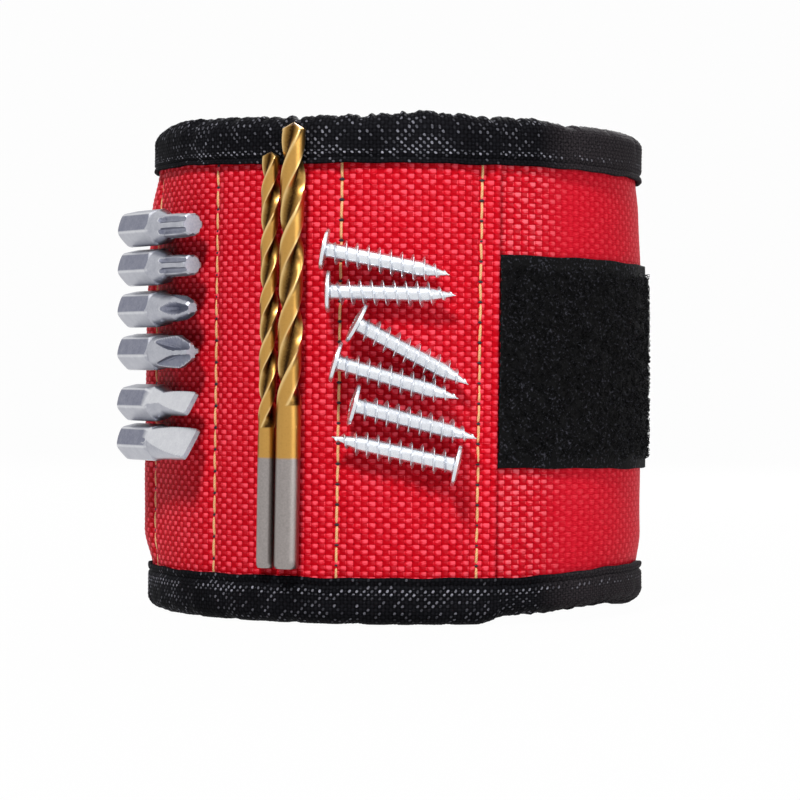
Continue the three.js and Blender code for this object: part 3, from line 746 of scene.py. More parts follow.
# %% [markdown]
# ## Edge tape
# A woven black tape is folded over each edge and sewn through. Its fold is round, its free edge
# wanders a little and it puckers between stitches. Its profile is a closed curve: up the outside
# leg, over a half ellipse, down the inside leg, and back along its own underside. That profile is
# carried along the strap, and its crossings crown as the cover's do, at half the scale.

# %% The tape's material and its folded profile
TAPE_CELL = 0.66
TAPE_CROWN = 0.15
TAPE_WIDTH = 22
ROLL_HEIGHT = 2.7
SEWN_LINE = 1.9
SEWN_ROW = SEWN_LINE / TAPE_CELL
UNDERSIDE_ROWS = 14
LEG_ROWS, ROLL_ROWS = 22, 38
GROOVE_DEPTH, GROOVE_WIDTH = 0.42, 0.5
TAPE_SWELL, TAPE_PUCKER = 0.16, 0.25
EDGE_WANDER = 0.2
PICOT_HEIGHT, PICOT_PITCH = 0.22, 1.45


def tape_paint():
    """Black tape: dull yarns, painted darker where the weave is low as painted shade, of which about one
    float in four gets a painted highlight, as if it caught the light. They are picked by a random
    number for each crossing, and are more in the row above the sewn line. On the right flank the tape
    is painted plainer and lighter, with fewer of them: painted light."""
    paint = Paint("woven_black_tape", {"Specular IOR Level": 0.02})
    height, on_top, strand = woven_wires(paint)
    u, v = paint.uv()
    draw = paint.draw(u, v)
    patch = paint.noise(110.0)
    row = (v > SEWN_ROW + 0.2) * (v < SEWN_ROW + 1.7)
    rolled = v < SEWN_ROW - 0.2
    # Painted light: on the right flank the tape is painted lighter and plainer, with fewer painted
    # highlights.
    brightened = painted_flank_light(u * TAPE_CELL)
    chance = patch * 1.2 - 0.15 + row * 0.55 - rolled * 0.15 - brightened * 0.5
    # Painted highlights: highlight_slant, spot and glint shape a pale grey mark on some floats.
    highlight_slant = (v.part() - 0.5) * 0.9 + (u.part() - 0.5) * 0.9
    fleck = paint.noise(1.0, 3.0, paint.vector(u * 1.2, v * 3.1))
    spot = clamp((height - 0.56 - highlight_slant * highlight_slant + (fleck - 0.5) * 0.5) * 5) * (on_top * 0.75 + 0.25)
    glint = spot * clamp((chance - draw) * 1.1) * (fleck * 1.7)
    # Painted shade: the dull colour darkens where the weave is low.
    shade = clamp(height * 0.9 + (fleck - 0.5) * 1.2 + (patch - 0.5) * 0.6)
    dull = paint.mix(shade, tone(2, 2, 3), tone(27, 27, 31))
    painted_flank_colour = paint.mix(clamp((fleck - 0.5) * 1.8 + height * 0.6), tone(22, 20, 23), tone(78, 72, 75))
    dull = paint.mix(brightened * 0.7, dull, painted_flank_colour)
    paint.bump(height * 0.6 + strand * 0.3, 0.1, 0.8)
    # The pale grey of the painted highlights over the dull yarns.
    return paint.finish(paint.mix(glint, dull, tone(166, 166, 178)), paint.blend(height, 0.8, 0.55))


black_tape = tape_paint()


def folded_profile(width, outer, inner, legs, arc, underside):
    """The closed section of a folded tape, for each column. Row by row: depth from the fold's crest,
    offset, the outward direction as (depth, offset) shares, length along the section, and the share
    of the leg from its free edge."""
    half, middle = (outer - inner) / 2, (outer + inner) / 2
    roll = np.minimum(half, ROLL_HEIGHT)
    up = np.linspace(0, 1, legs, endpoint=False)[:, None]
    turn = np.linspace(0, np.pi, arc)[:, None]
    ones = np.ones_like(half)
    leg_depth = width + (roll - width) * up
    rows = [
        (leg_depth, outer * np.ones_like(up), 0 * leg_depth, 1 + 0 * leg_depth),
        (roll * (1 - np.sin(turn)), middle + half * np.cos(turn), -np.sin(turn) * ones, np.cos(turn) * ones),
        (leg_depth[::-1], inner * np.ones_like(up), 0 * leg_depth, -1 + 0 * leg_depth),
    ]
    depth, offset, depth_way, offset_way = (np.concatenate(part) for part in zip(*rows))
    pick = np.linspace(len(depth) - 1, 0, underside).round().astype(int)
    under_depth = depth[pick] - depth_way[pick] * BINDING_THICKNESS
    under_offset = offset[pick] - offset_way[pick] * BINDING_THICKNESS
    step = np.hypot(np.diff(depth, axis=0), np.diff(offset, axis=0)).mean(1)
    run = np.concatenate([[0], step.cumsum()])
    free = np.concatenate([1 - up[:, 0], np.zeros(arc), 1 - up[::-1, 0]])
    return {
        "depth": np.concatenate([depth, under_depth]),
        "offset": np.concatenate([offset, under_offset]),
        "depth_way": np.concatenate([depth_way, -depth_way[pick]]),
        "offset_way": np.concatenate([offset_way, -offset_way[pick]]),
        "run": np.concatenate([run, run[pick]])[:, None],
        "free": np.concatenate([free, free[pick]])[:, None],
        "cloth": np.concatenate([np.ones(len(depth)), np.zeros(len(pick))])[:, None],
    }


def cut_face(rows, columns, column, flip):
    """The triangles between the cloth's rows and the fewer underside rows, at one column. Each cloth
    row leans on the underside row that stands under it."""
    cloth = rows - UNDERSIDE_ROWS
    upper = np.arange(cloth)
    under = rows - 1 - np.round(upper / (cloth - 1) * (UNDERSIDE_ROWS - 1)).astype(int)
    steps = under[:-1] != under[1:]
    fans = np.stack([upper[:-1], upper[1:], under[:-1]], -1)
    gaps = np.stack([upper[1:], under[1:], under[:-1]], -1)[steps]
    triangles = np.concatenate([fans, gaps]) * columns + column
    return [triangles[:, ::-1] if flip else triangles]


def folded_tape(name, path, width, outer, inner, place, seed, flip, rise=lambda path: (0.3, 0.8)):
    """Carries the folded profile along a path of lengths. place turns (path, depth, offset) into
    points. Both ends are closed by a cut face between the cloth and its underside."""
    section = folded_profile(width, outer(path), inner(path), LEG_ROWS, ROLL_ROWS, UNDERSIDE_ROWS)
    weave = plain_weave(path / TAPE_CELL, section["run"] / TAPE_CELL) * TAPE_CROWN * section["cloth"]
    pucker = waver(path, (6.1, 8.7, 13), seed) * 0.75 + waver(path, (3.3, 4.7), seed + 2) * 0.25
    groove = GROOVE_DEPTH * bell((1 - section["free"]) * width - SEWN_LINE, GROOVE_WIDTH)
    puckered = TAPE_PUCKER * pucker * (1 - section["free"]) ** 2
    swell = section["cloth"] * (TAPE_SWELL + puckered - groove)
    wander = EDGE_WANDER * waver(path, (9, 17, 31), seed + 1) * section["free"]
    lift, bumps = rise(path)
    picot = PICOT_HEIGHT * (1 - np.abs(np.sin(np.pi * path / PICOT_PITCH)))
    crest = ((np.abs(pucker) + picot) * bumps - lift) * np.abs(section["depth_way"])
    height = weave + swell - TAPE_CROWN
    depth = section["depth"] + wander + crest + section["depth_way"] * height
    offset = section["offset"] + section["offset_way"] * height
    points = place(path, depth, offset)
    rows, columns = points.shape[:2]
    turns = np.broadcast_arrays(path / TAPE_CELL, section["run"] / TAPE_CELL)
    faces = [grid_faces(rows, columns, wrap_rows=True, flip=flip)]
    for column in (0, columns - 1):
        faces += cut_face(rows, columns, column, flip == (column == 0))
    return make_mesh(name, points.reshape(-1, 3), faces, np.stack(turns, -1).reshape(-1, 2))


# %% The tapes over both long edges, each in three lengths
EDGE_LIFT = 0.7
FOOT_LIFT, FOOT_LIFT_SPAN = 1.3, (16, 21, 60, 85)
LEG_LIFT, LEG_LIFT_SPAN = 1.1, (22, 52, 60, 85)
SCALLOP, SCALLOP_SPAN = 0.9, (18, 26, 60, 85)
CREST_RISE, CREST_BUMPS = 0.55, 1.1


def rim_outer(path):
    return skin(angle_at(path)) + STAND_OFF


def rim_inner(path):
    return inside_face(angle_at(path)) - STAND_OFF


def top_place(path, depth, offset):
    """The tape hangs from the upper edge. Its free edge is sewn higher at the front and left."""
    lifted = EDGE_LIFT * smooth_step(-angle_at(path), -90, -20) * smooth_step(depth, 5, 9.5)
    lifted = lifted * (1 + smooth_step(-path, 22, 48))
    return strap(angle_at(path), offset, BAND_HEIGHT - depth + lifted)


def top_rise(path):
    """How far the upper edge stands proud, most where the middle and left channels push it up, and
    how high its bumps are. The lower edge stands on the table, and has none."""
    left, middle = bell(path + 50, 14), bell(path - 5, 9)
    right = flank_share(path)
    rise = CREST_RISE + 0.75 * middle + 0.6 * left - 0.8 * right
    return rise, CREST_BUMPS + 0.5 * left - 0.6 * right


def bottom_place(path, depth, offset):
    """The lower edge rests on the table, except right of the panel, where the thinner strap lifts."""
    lifted = FOOT_LIFT * plateau(path, *FOOT_LIFT_SPAN) * smooth_step(-depth, -6, -0.5)
    raised = LEG_LIFT * plateau(path, *LEG_LIFT_SPAN)
    return strap(angle_at(path), offset, np.maximum(depth, 0) + raised + lifted)


def bottom_rise(path):
    """The lower edge is flat where it rests, and scalloped where it lifts."""
    return 0, 0.12 + SCALLOP * plateau(path, *SCALLOP_SPAN)


def tape_lines(start, stop):
    """Grid lines at every half crossing, so that each crown has its top on a line."""
    low, high = length_at(start), length_at(stop)
    step = TAPE_CELL / 2
    inside = np.arange(math.ceil(low / step + 0.3), math.floor(high / step - 0.3) + 1) * step
    return np.concatenate([[low], inside, [high]])


# Where a point goes, the width of a leg, whether the faces are flipped, a seed, and the crest's rise
RIMS = {
    "top": (top_place, BAND_HEIGHT - TOP_TAPE_EDGE, False, 41, top_rise),
    "bottom": (bottom_place, BOTTOM_TAPE_EDGE, True, 53, bottom_rise),
}
# First and last angle, the ends of the nodes' names, and body or fold
LENGTHS = {
    "front": (SEAM_ANGLES[4], INNER_END_ANGLE, ["front"], "band", None),
    "rear": (SEAM_ANGLES[5], SEAM_ANGLES[4], ["wing"], None, WING_FOLD),
    "tail": (TAB_TIP_ANGLE, SEAM_ANGLES[5], ["wing", "tab"], None, TAB_FOLD),
}
for rim, (place, width, flip, seed, rise) in RIMS.items():
    for where, (start, stop, ends, body, fold) in LENGTHS.items():
        name, path = f"{rim}_binding_{where}", tape_lines(start, stop)
        mesh = folded_tape(name, path, width, rim_outer, rim_inner, place, seed, flip, rise)
        nodes = [f"{rim}_edge_tape_{end}" for end in ends]
        tape = make_piece(mesh, black_tape, body, nodes)
        if fold:
            fold_line(tape, *fold)
        flat = (abs(length_at(start) - length_at(stop)) * MM, TAPE_WIDTH * MM)
        print(name, 2 * len(mesh.polygons), "triangles")

# %% [markdown]
# ## Tape over the two short ends
# The strap's ends are bound with the same tape, upright, between the two rims. Its section is carried
# up the end instead of along the edge.


# %% Both end tapes
END_INSET = 1.2


def end_tape(name, end_angle, direction, node, body, seed):
    """The folded profile with its crest at the end of the strap, carried upwards."""
    end = length_at(end_angle) + direction * STAND_OFF
    heights = np.arange(END_INSET, BAND_HEIGHT - END_INSET, TAPE_CELL / 2)
    outer, inner = (face(length_at(np.float64(end_angle))) for face in (rim_outer, rim_inner))

    def place(path, depth, offset):
        return strap(angle_at(end - direction * np.maximum(depth, 0)), offset - PLY_GAP, path)

    faces = (lambda path: outer + 0 * path, lambda path: inner + 0 * path)
    mesh = folded_tape(name, heights, BOTTOM_TAPE_EDGE, *faces, place, seed, direction > 0)
    tape = make_piece(mesh, black_tape, body, [node])


end_tape("inner_end_binding", INNER_END_ANGLE, 1, "inner_end_tape", "band", 61)
end_tape("tab_end_binding", TAB_TIP_ANGLE, -1, "tab_end_tape", "tab", 67)

# %% [markdown]
# ## Topstitching
# Pale golden thread sews the channels, a little under four millimetres a stitch. Every stitch is its
# own short tube that rises from one hole and dips into the next, and the dark bobbin thread shows at
# each hole.

# %% Thread, stitches and knots
THREAD_RADIUS = 0.26
STITCH_GAP = 0.5
KNOT_RADIUS = 0.34
SEAM_FACE = PANEL_SKIN - SEAM_PULL
SEAM_LOW, SEAM_HIGH = BOTTOM_TAPE_EDGE - 1.5, TOP_TAPE_EDGE + 3.5
FIRST_SEAM_SEED = 70
FIRST_WING_ANGLE = -120


def thread_paint(name, low, high):
    """Plies twisted tightly together: fine slanting stripes round the tube, in colour and in relief. The
    grooves between the plies are painted darker: painted shade.
    """
    paint = Paint(name, {"Specular IOR Level": 0.35})
    around, run = paint.uv()
    ply = (around * 3 + run * 2.2).arch()
    fuzz = paint.noise(2500.0, 3.0)
    # Painted shade: darker in the grooves between the plies.
    colour = paint.mix(clamp(ply * 0.45 + fuzz * 0.8), low, high)
    paint.bump(ply + fuzz * 0.3, 0.04, 0.6)
    return paint.finish(colour, paint.blend(fuzz, 0.4, 0.7))


golden_thread = thread_paint("golden_thread", tone(192, 122, 66), tone(252, 206, 148))
black_thread = thread_paint("black_thread", tone(4, 4, 5), tone(40, 40, 46))


def seam_line(name, angle, pitch, body, seed):
    """A row of upright stitches at an angle. Along a stitch the thread's height follows a root of a
    sine arch: steep at both holes and flat between them."""
    count = int((SEAM_HIGH - SEAM_LOW) / pitch)
    share = np.linspace(0, 1, 9)
    rng = np.random.default_rng(seed)
    z = SEAM_LOW + (np.arange(count)[:, None] + 0.5) * pitch + (share - 0.5) * (pitch - STITCH_GAP)
    stray = rng.normal(0, 0.05, (count, 2))
    side = lean(z) + stray[:, :1] * (share - 0.5) * 2 + stray[:, 1:] * 0.6
    rise = np.sin(np.pi * share) ** 0.4 * THREAD_RADIUS * 1.25 - THREAD_RADIUS * 0.9
    place = strap(angle + angle_at(side), SEAM_FACE + rise + bulge(angle + 0 * z, z), z)
    points, faces, uv = tubes(place, THREAD_RADIUS, 8, outward(angle))
    make_piece(make_mesh(name, points, faces, uv), golden_thread, body)


def knot_line(name, angle, pitch, body):
    """The dark thread that locks each stitch: a short lens at every hole."""
    count = int((SEAM_HIGH - SEAM_LOW) / pitch) + 1
    share = np.linspace(0, 1, 5)
    z = SEAM_LOW + np.arange(count)[:, None] * pitch + 0 * share
    side = (share - 0.5) * KNOT_RADIUS * 3 + lean(z)
    offset = SEAM_FACE - KNOT_RADIUS * 0.1 + bulge(angle + 0 * z, z)
    girth = KNOT_RADIUS * np.sin(np.pi * np.clip(share, 0.08, 0.92))
    points, faces, uv = tubes(strap(angle + angle_at(side), offset, z), girth, 6, outward(angle))
    make_piece(make_mesh(name, points, faces, uv), black_thread, body)


for number, angle in enumerate(SEAM_ANGLES):
    body = "wing" if angle < FIRST_WING_ANGLE else "band"
    pitch = FINE_PITCH if number < 2 else STITCH_PITCH
    seam_line(f"topstitch_{number + 1}", angle, pitch, body, FIRST_SEAM_SEED + number)
    knot_line(f"stitch_knots_{number + 1}", angle, pitch, body)
print("sewn", len(SEAM_ANGLES), "channels")

# %% [markdown]
# ## The closure
# The soft half of the closure is a black pile tape: thousands of fine loops on a woven ground, with a
# flat selvedge along both edges. Each loop is a small arch. The stiff half, inside the tab, is a plate
# of small hooks in rows.

# %% Pile and hooks
LOOP_ENDS = (PANEL_EDGE_ANGLE + 0.5, 179.38)
HOOK_ENDS = (-182, -229.38)
TAB_SHADE_ANGLE = 118
CLOSURE_LOW, CLOSURE_HIGH = box("loop_tape")[0][2], box("loop_tape")[1][2]
SELVEDGE = 2.0
GROUND_OFFSET = COVER_SKIN + 0.75
GROUND_STEP = 0.44
RIB_PITCH = 0.9
LEFT_END_RAISED = 0.8
HALF_SPANS, LOOP_HEIGHTS, FIBRE_RADIUS = (0.35, 0.8), (0.35, 0.85), 0.065
HOOK_FACE = COVER_OFFSET - PLY_GAP - 0.25
HOOK_PITCH = 1.5
HOOK_BEND = 0.22
HOOK_STEM = 0.28
HOOK_RADIUS = 0.075


def pile_paint(name, dark, light):
    """Matt black, with scattered paler specks, painted highlights where single fibres catch the light."""
    paint = Paint(name, {"Specular IOR Level": 0.12})
    speck = paint.noise(1900.0, 2.0)
    patch = paint.noise(260.0, 2.0)
    # Painted highlights: the paler specks.
    share = clamp((speck - 0.57) * 5 + (patch - 0.5) * 0.9)
    paint.bump(speck, 0.25, 0.9)
    return paint.finish(paint.mix(share, dark, light), paint.blend(patch, 0.7, 0.95))


black_pile = pile_paint("black_pile", tone(3, 3, 4), tone(66, 66, 74))


def closure_place(s, offset, z):
    """A place on the pile tape, whose left end lies a little higher than its right end and leans."""
    share = smooth_step(angle_at(s), 22, 90)
    raised = z + LEFT_END_RAISED * (1 - share)
    angle = angle_at(s + lean(z) * (1 - share))
    return strap(angle, offset + bulge(angle, raised), raised)


def pile_ground():
    """The pile's woven ground: noisy between the selvedges, flat on them, and turned down at both
    edges to the cover."""
    s = np.arange(length_at(LOOP_ENDS[0]), length_at(LOOP_ENDS[1]), GROUND_STEP)
    inside = np.arange(CLOSURE_LOW + 0.2, CLOSURE_HIGH, GROUND_STEP)
    rows = np.concatenate([[CLOSURE_LOW, CLOSURE_LOW], inside, [CLOSURE_HIGH, CLOSURE_HIGH]])
    s, z = np.meshgrid(s, rows)
    edge = np.minimum(z - CLOSURE_LOW, CLOSURE_HIGH - z)
    rng = np.random.default_rng(83)
    rough = smooth_step(edge, SELVEDGE - 0.4, SELVEDGE + 0.3) * (0.25 + rng.uniform(-0.2, 0.25, s.shape))
    rib = 0.07 * np.sin(2 * np.pi * s / RIB_PITCH) * (edge < SELVEDGE)
    offset = GROUND_OFFSET + rough + rib
    offset[0], offset[-1] = COVER_SKIN, COVER_SKIN
    points = closure_place(s, offset, z + 0.12 * waver(s, (11, 23), 85))
    return wall_mesh("pile_ground", points, (s / RIB_PITCH, z / RIB_PITCH * 2))


def fibre_loops(name, count, start, stop, seed):
    """Arches of fibre, as half sines over a short span in any direction, each leaning its own way."""
    rng = np.random.default_rng(seed)
    s = rng.uniform(length_at(start) + 0.6, length_at(stop) - 0.6, count)
    z = rng.uniform(CLOSURE_LOW + SELVEDGE, CLOSURE_HIGH - SELVEDGE, count)
    turn, half = rng.uniform(0, np.pi, count), rng.uniform(*HALF_SPANS, count)
    height, tilt = rng.uniform(*LOOP_HEIGHTS, count), rng.normal(0, 0.25, (count, 2))
    share = np.linspace(-1, 1, 6)
    arch = np.cos(share * np.pi / 2)
    side = s[:, None] + (np.cos(turn) * half)[:, None] * share + tilt[:, :1] * arch
    rise = z[:, None] + (np.sin(turn) * half)[:, None] * share + tilt[:, 1:] * arch
    place = closure_place(side, GROUND_OFFSET + 0.1 + height[:, None] * arch, rise)
    points, faces, uv = tubes(place, FIBRE_RADIUS, 3, (0, 0, 1))
    return make_mesh(name, points, faces, uv)


def closure_flat(ends):
    """The flat size of one half of the closure, between two angles."""
    return abs(length_at(ends[1]) - length_at(ends[0])) * MM, (CLOSURE_HIGH - CLOSURE_LOW) * MM


ground = make_piece(pile_ground(), black_pile, "band", ["loop_tape"])
# How many loops, from which angle to which, and a seed
PILE_LOOPS = {
    "pile_loops_shown": (4300, LOOP_ENDS[0], TAB_SHADE_ANGLE, 87),
    "pile_loops_under_tab": (1700, TAB_SHADE_ANGLE, LOOP_ENDS[1], 89),
}
for name, where in PILE_LOOPS.items():
    make_piece(fibre_loops(name, *where), black_pile, "band")
closure_flat(LOOP_ENDS)


def hook_plate():
    """The tape that carries the hooks: a thin woven ground with its face towards the wearer."""
    s = np.arange(length_at(HOOK_ENDS[1]), length_at(HOOK_ENDS[0]), 0.6)
    s, z = np.meshgrid(s, np.linspace(CLOSURE_LOW, CLOSURE_HIGH, 64))
    rib = 0.06 * np.sin(2 * np.pi * s / HOOK_PITCH) * np.sin(2 * np.pi * z / HOOK_PITCH)
    return wall_mesh("hook_ground", strap(angle_at(s), HOOK_FACE + rib, z), (s, z), flip=True)


def hook_rows():
    """Canes: up from the plate, over in a half circle and a little back down, by turns to each side."""
    rows = np.arange(CLOSURE_LOW + 1.5, CLOSURE_HIGH - 1, HOOK_PITCH)
    places = np.arange(length_at(HOOK_ENDS[1]) + 1, length_at(HOOK_ENDS[0]) - 1, HOOK_PITCH)
    s, z = (a.ravel()[:, None] for a in np.meshgrid(places, rows))
    way = np.where((np.arange(len(s)) + np.round(z[:, 0] / HOOK_PITCH)) % 2 < 1, 1, -1)[:, None]
    bend = np.linspace(0, np.pi * 1.15, 6)
    reach = np.concatenate([[0], HOOK_BEND * (1 - np.cos(bend))])
    rise = np.concatenate([[0], HOOK_STEM + HOOK_BEND * np.sin(bend)])
    place = strap(angle_at(s + way * (reach - HOOK_BEND)), HOOK_FACE - rise, z + 0 * rise)
    points, faces, uv = tubes(place, HOOK_RADIUS, 4, (0, 0, 1))
    return make_mesh("closure_hooks", points, faces, uv)


hook_plastic = pile_paint("hook_nylon", tone(14, 14, 17), tone(48, 48, 54))
plate = make_piece(hook_plate(), hook_plastic, "tab", ["hook_tape"])
hooks = make_piece(hook_rows(), hook_plastic, "tab")
closure_flat(HOOK_ENDS)

# %% [markdown]
# ## Foam pads and magnets
# A thin foam pad fills each sewn channel, with pockets for the magnets. Nobody sees them unless the
# part is opened up, so they have round edges, pockets and the foam's fine pores.

# %% Pads between the seams
PAD_OFFSET = COVER_OFFSET - PLY_GAP
PAD_THICKNESS = 2.8
PAD_LOW, PAD_HIGH = box("pad_1")[0][2], box("pad_1")[1][2]
PAD_ROUND = 1.2
PADS_END_ANGLE = -164
PADS_MEET = (SEAM_ANGLES[0] + INNER_END_ANGLE) / 2
SEAM_HALF = 1.0
POCKET_HALF_WIDTH, POCKET_HALF_HEIGHT, POCKET_DEPTH = 5.8, 10.8, 2.2
MAGNET_CHANNELS = 5


def foam_paint():
    """Pale grey foam: round pores of two sizes, painted darker inside as painted shade."""
    paint = Paint("grey_foam", {"Specular IOR Level": 0.25})
    coarse, fine = paint.noise(900.0), paint.noise(3200.0)
    # Painted shade: pore darkens the pores.
    pore = (coarse * 0.6 + fine * 0.6 - 0.35).math("MAXIMUM", 0)
    paint.bump(pore, 0.3, 0.8)
    return paint.finish(paint.mix(pore, tone(70, 70, 74), tone(126, 126, 130)), paint.blend(fine, 0.8, 1.0))


grey_foam = foam_paint()


def pad_wall(name, start, stop, magnet_nodes):
    """A flat ring of section: outside face up, inside face down, with round ends, carried along the
    strap and closed at both ends. Pockets dip into the outside face round each magnet."""
    count = int(length_at(stop - start)) + 2
    s = np.linspace(length_at(start) + SEAM_HALF, length_at(stop) - SEAM_HALF, count)
    end = 1 - (1 - np.minimum(s - s[0], s[-1] - s) / PAD_ROUND).clip(0, 1) ** 2
    turn = np.linspace(0, np.pi, 9)
    half = PAD_THICKNESS / 2
    rise, cap = np.arange(PAD_LOW + half, PAD_HIGH - half, 1.0), half * np.sin(turn)
    z = np.concatenate([rise, PAD_HIGH - half + cap, rise[::-1], PAD_LOW + half - cap])
    side = np.concatenate([np.ones(len(rise)), np.cos(turn), -np.ones(len(rise)), -np.cos(turn)])
    angle, z = np.meshgrid(angle_at(s), z)
    depth = np.zeros_like(z)
    for node in magnet_nodes:
        x, y, height = np.mean(box(node), 0) - AXIS * [1, 1, 0]
        sideways = np.abs(length_at(angle - math.degrees(math.atan2(x, -y)))) - POCKET_HALF_WIDTH
        near = np.maximum(sideways, np.abs(z - height) - POCKET_HALF_HEIGHT)
        depth = np.maximum(depth, POCKET_DEPTH * smooth_step(-near, -0.6, 0.2))
    outside = side[:, None]
    offset = PAD_OFFSET - half + half * outside * np.sqrt(end.clip(0, 1)) - depth * (outside > 0.9)
    return wall_mesh(name, strap(angle, offset, z), wrap_rows=True)


def magnet_row(channel):
    return [f"magnet_{channel}_{row}" for row in ("bottom", "middle", "top")]


# First and last angle, and the magnets that the pad has pockets for
PADS = {
    f"pad_{i}": (SEAM_ANGLES[i], SEAM_ANGLES[i - 1], magnet_row(i)) for i in range(1, MAGNET_CHANNELS + 1)
}
PADS["pad_6"] = (PADS_END_ANGLE, SEAM_ANGLES[5], [])
PADS["pad_right"] = (SEAM_ANGLES[0], PADS_MEET, [])
PADS["pad_inner_end"] = (PADS_MEET, INNER_END_ANGLE, [])
for node, (start, stop, magnets) in PADS.items():
    body = {"pad_5": None, "pad_6": "wing"}.get(node, "band")
    pad = make_piece(pad_wall(f"foam_{node}", start, stop, magnets), grey_foam, body, [node])
    if body is None:
        fold_line(pad, *WING_FOLD)


# %% The magnets keep their blocks and get a plated finish
def metal_paint(name, low, high, rough, scale, grain, metallic=1.0):
    """Tumbled metal: noise of two sizes changes colour and gloss, and draws a fine grain."""
    paint = Paint(name, {"Metallic": metallic})
    cloud = paint.noise(scale * 0.35, 2.0)
    fine = paint.noise(scale, 3.0)
    paint.bump(fine, grain, 0.5)
    share = clamp(cloud * 0.5 + fine * 0.9 - 0.2)
    return paint.finish(paint.mix(share, low, high), paint.blend(fine, rough, rough + 0.18))


plated_magnet = metal_paint("plated_magnet", tone(150, 150, 152), tone(200, 200, 204), 0.25, 700.0, 0.01)
for channel in range(1, MAGNET_CHANNELS + 1):
    for node in magnet_row(channel):
        bpy.data.objects[node].material_slots[0].material = plated_magnet

# %% [markdown]
# ## The driver bits
# Each bit is worked out as a radius for every angle round it and every place along it. The radius is
# the least of a few simple shapes: the hexagon of the shank, the circle at its corners, the cone that
# leads to the neck, and the tip's own section. Where the cone cuts the hexagon, the scalloped edge of
# a real bit appears by itself.


# %% Radius formulas
BIT_LENGTH = 25
BIT_FLATS = 6.35
BIT_CORNERS = 7.0
BIT_SHANK = 12.4
BIT_SHOULDER = BIT_SHANK - 0.7
BIT_TAPER = 3.3
BIT_CHAMFER = 0.3
BIT_CONTACT_ANGLE = -60
BIT_SETBACK = 0.3
BIT_COLUMNS = 120
BLUNT_LENGTH = 4.6
BLADE_TURN = math.radians(-30)
HEX_ROLL = math.radians(-17)


def hexagon(turn):
    """Half the width across flats, divided by the cosine of the turn from the nearest flat."""
    sector, turn = np.pi / 3, turn - HEX_ROLL
    return BIT_FLATS / 2 / np.cos((turn + sector / 2) % sector - sector / 2)


def soft_least(values, softness=0.02):
    """The least of several radii, with the corner between them eased."""
    values = np.stack(np.broadcast_arrays(*values))
    low = values.min(0)
    return low - softness * np.log(np.exp(-(values - low) / softness).sum(0))


def star_tip(turn, w, width, start):
    """Six lobes by a cosine of six turns, wider than the neck, which trims them. The grooves rise
    towards the shank, so each runs out through the cone in an oval edge."""
    wave = (0.5 + 0.5 * np.cos(6 * turn)) ** 1.7
    return width / 2 * (0.7 + 0.55 * wave) + 0.22 * np.maximum(start + 1.2 - w, 0) ** 2


def cross_tip(turn, w, width, start):
    """Four grooves between two webs. The webs thicken away from the point until they meet the neck,
    and each groove has a thin rib along its bottom."""
    web = 0.42 + 0.2 * np.maximum(21.8 - w, 0)
    across = np.maximum(web / np.abs(np.cos(turn)).clip(1e-3), web / np.abs(np.sin(turn)).clip(1e-3))
    diagonal = (turn % (np.pi / 2)) - np.pi / 4
    return across + 0.3 * bell(diagonal, 0.1)


def slot_tip(turn, w, width, start):
    """Two flat cheeks that lean together from the cone to the end of the blade."""
    first = start - (width - 3.7) * 1.6
    half = 0.4 + (width / 2 - 0.4) * (BIT_LENGTH - w) / (BIT_LENGTH - first)
    return half / np.abs(np.cos(turn - BLADE_TURN)).clip(1e-3)


TIPS = {"star": star_tip, "cross": cross_tip, "slot": slot_tip}


def polar_mesh(radius, places, turns):
    """A body along its own Z from radii [places, turns]. Its two ends close onto the axis."""
    x, y = radius * np.cos(turns), radius * np.sin(turns)
    points = np.stack([x, y, np.broadcast_to(places[:, None], radius.shape)], -1).reshape(-1, 3)
    points = np.concatenate([points, [[0, 0, places[0]], [0, 0, places[-1]]]])
    rows, columns = radius.shape
    ring = np.arange(columns)
    step = np.roll(ring, -1)
    first = np.stack([step, ring, np.full(columns, rows * columns)], -1)
    last = np.stack([ring, step, np.full(columns, 1)], -1) + (rows - 1) * columns
    last[:, 2] = rows * columns + 1
    return points, [grid_faces(rows, columns, wrap_columns=True), first, last]


def lay(points, direction, face, position):
    """Lays a body with its own Z on a direction and its own X facing out, at a position."""
    z = direction / np.linalg.norm(direction)
    x = face - z * (face @ z)
    x /= np.linalg.norm(x)
    return points @ np.stack([x, np.cross(z, x), z]) + position


def steel_piece(node, points, faces, material, crease, floats=None):
    """A hard piece in the place of a node, with crisp edges where its faces meet at more than the
    crease angle. It prints how far the corners of its box are from the node's, in mm."""
    mesh = make_mesh(node + "_body", points, faces, floats=floats)
    mesh.set_sharp_from_angle(angle=math.radians(crease))
    make_piece(mesh, material, "band", [node])
    off = np.abs(np.array([points.min(0), points.max(0)]) - box(node))
    print(node, "off by", *off.max(1).round(2))


# Painted reflections: each flat of the hexagon gets its own brightness in place of what it would reflect. The
# shares of the other parts are partly the bit's real finish, such as its brighter ground neck, and partly
# painted reflection, such as the bright slot cheeks.
FACET_REFLECTIONS = (0.08, 0.52, 0.2, 0.45, 0.35, 0.25)
PART_FINISH_AND_REFLECTION = {"corner": 0.6, "back": 0.45, "neck": 0.5, "star": 0.12, "cross": 0.1, "slot": 0.9}
BLUNT = {"star": 0.09, "cross": 0.5, "slot": 0}
CORNER_BRIGHTENING, END_SHARES = 0.3, (0.45, 0.3)


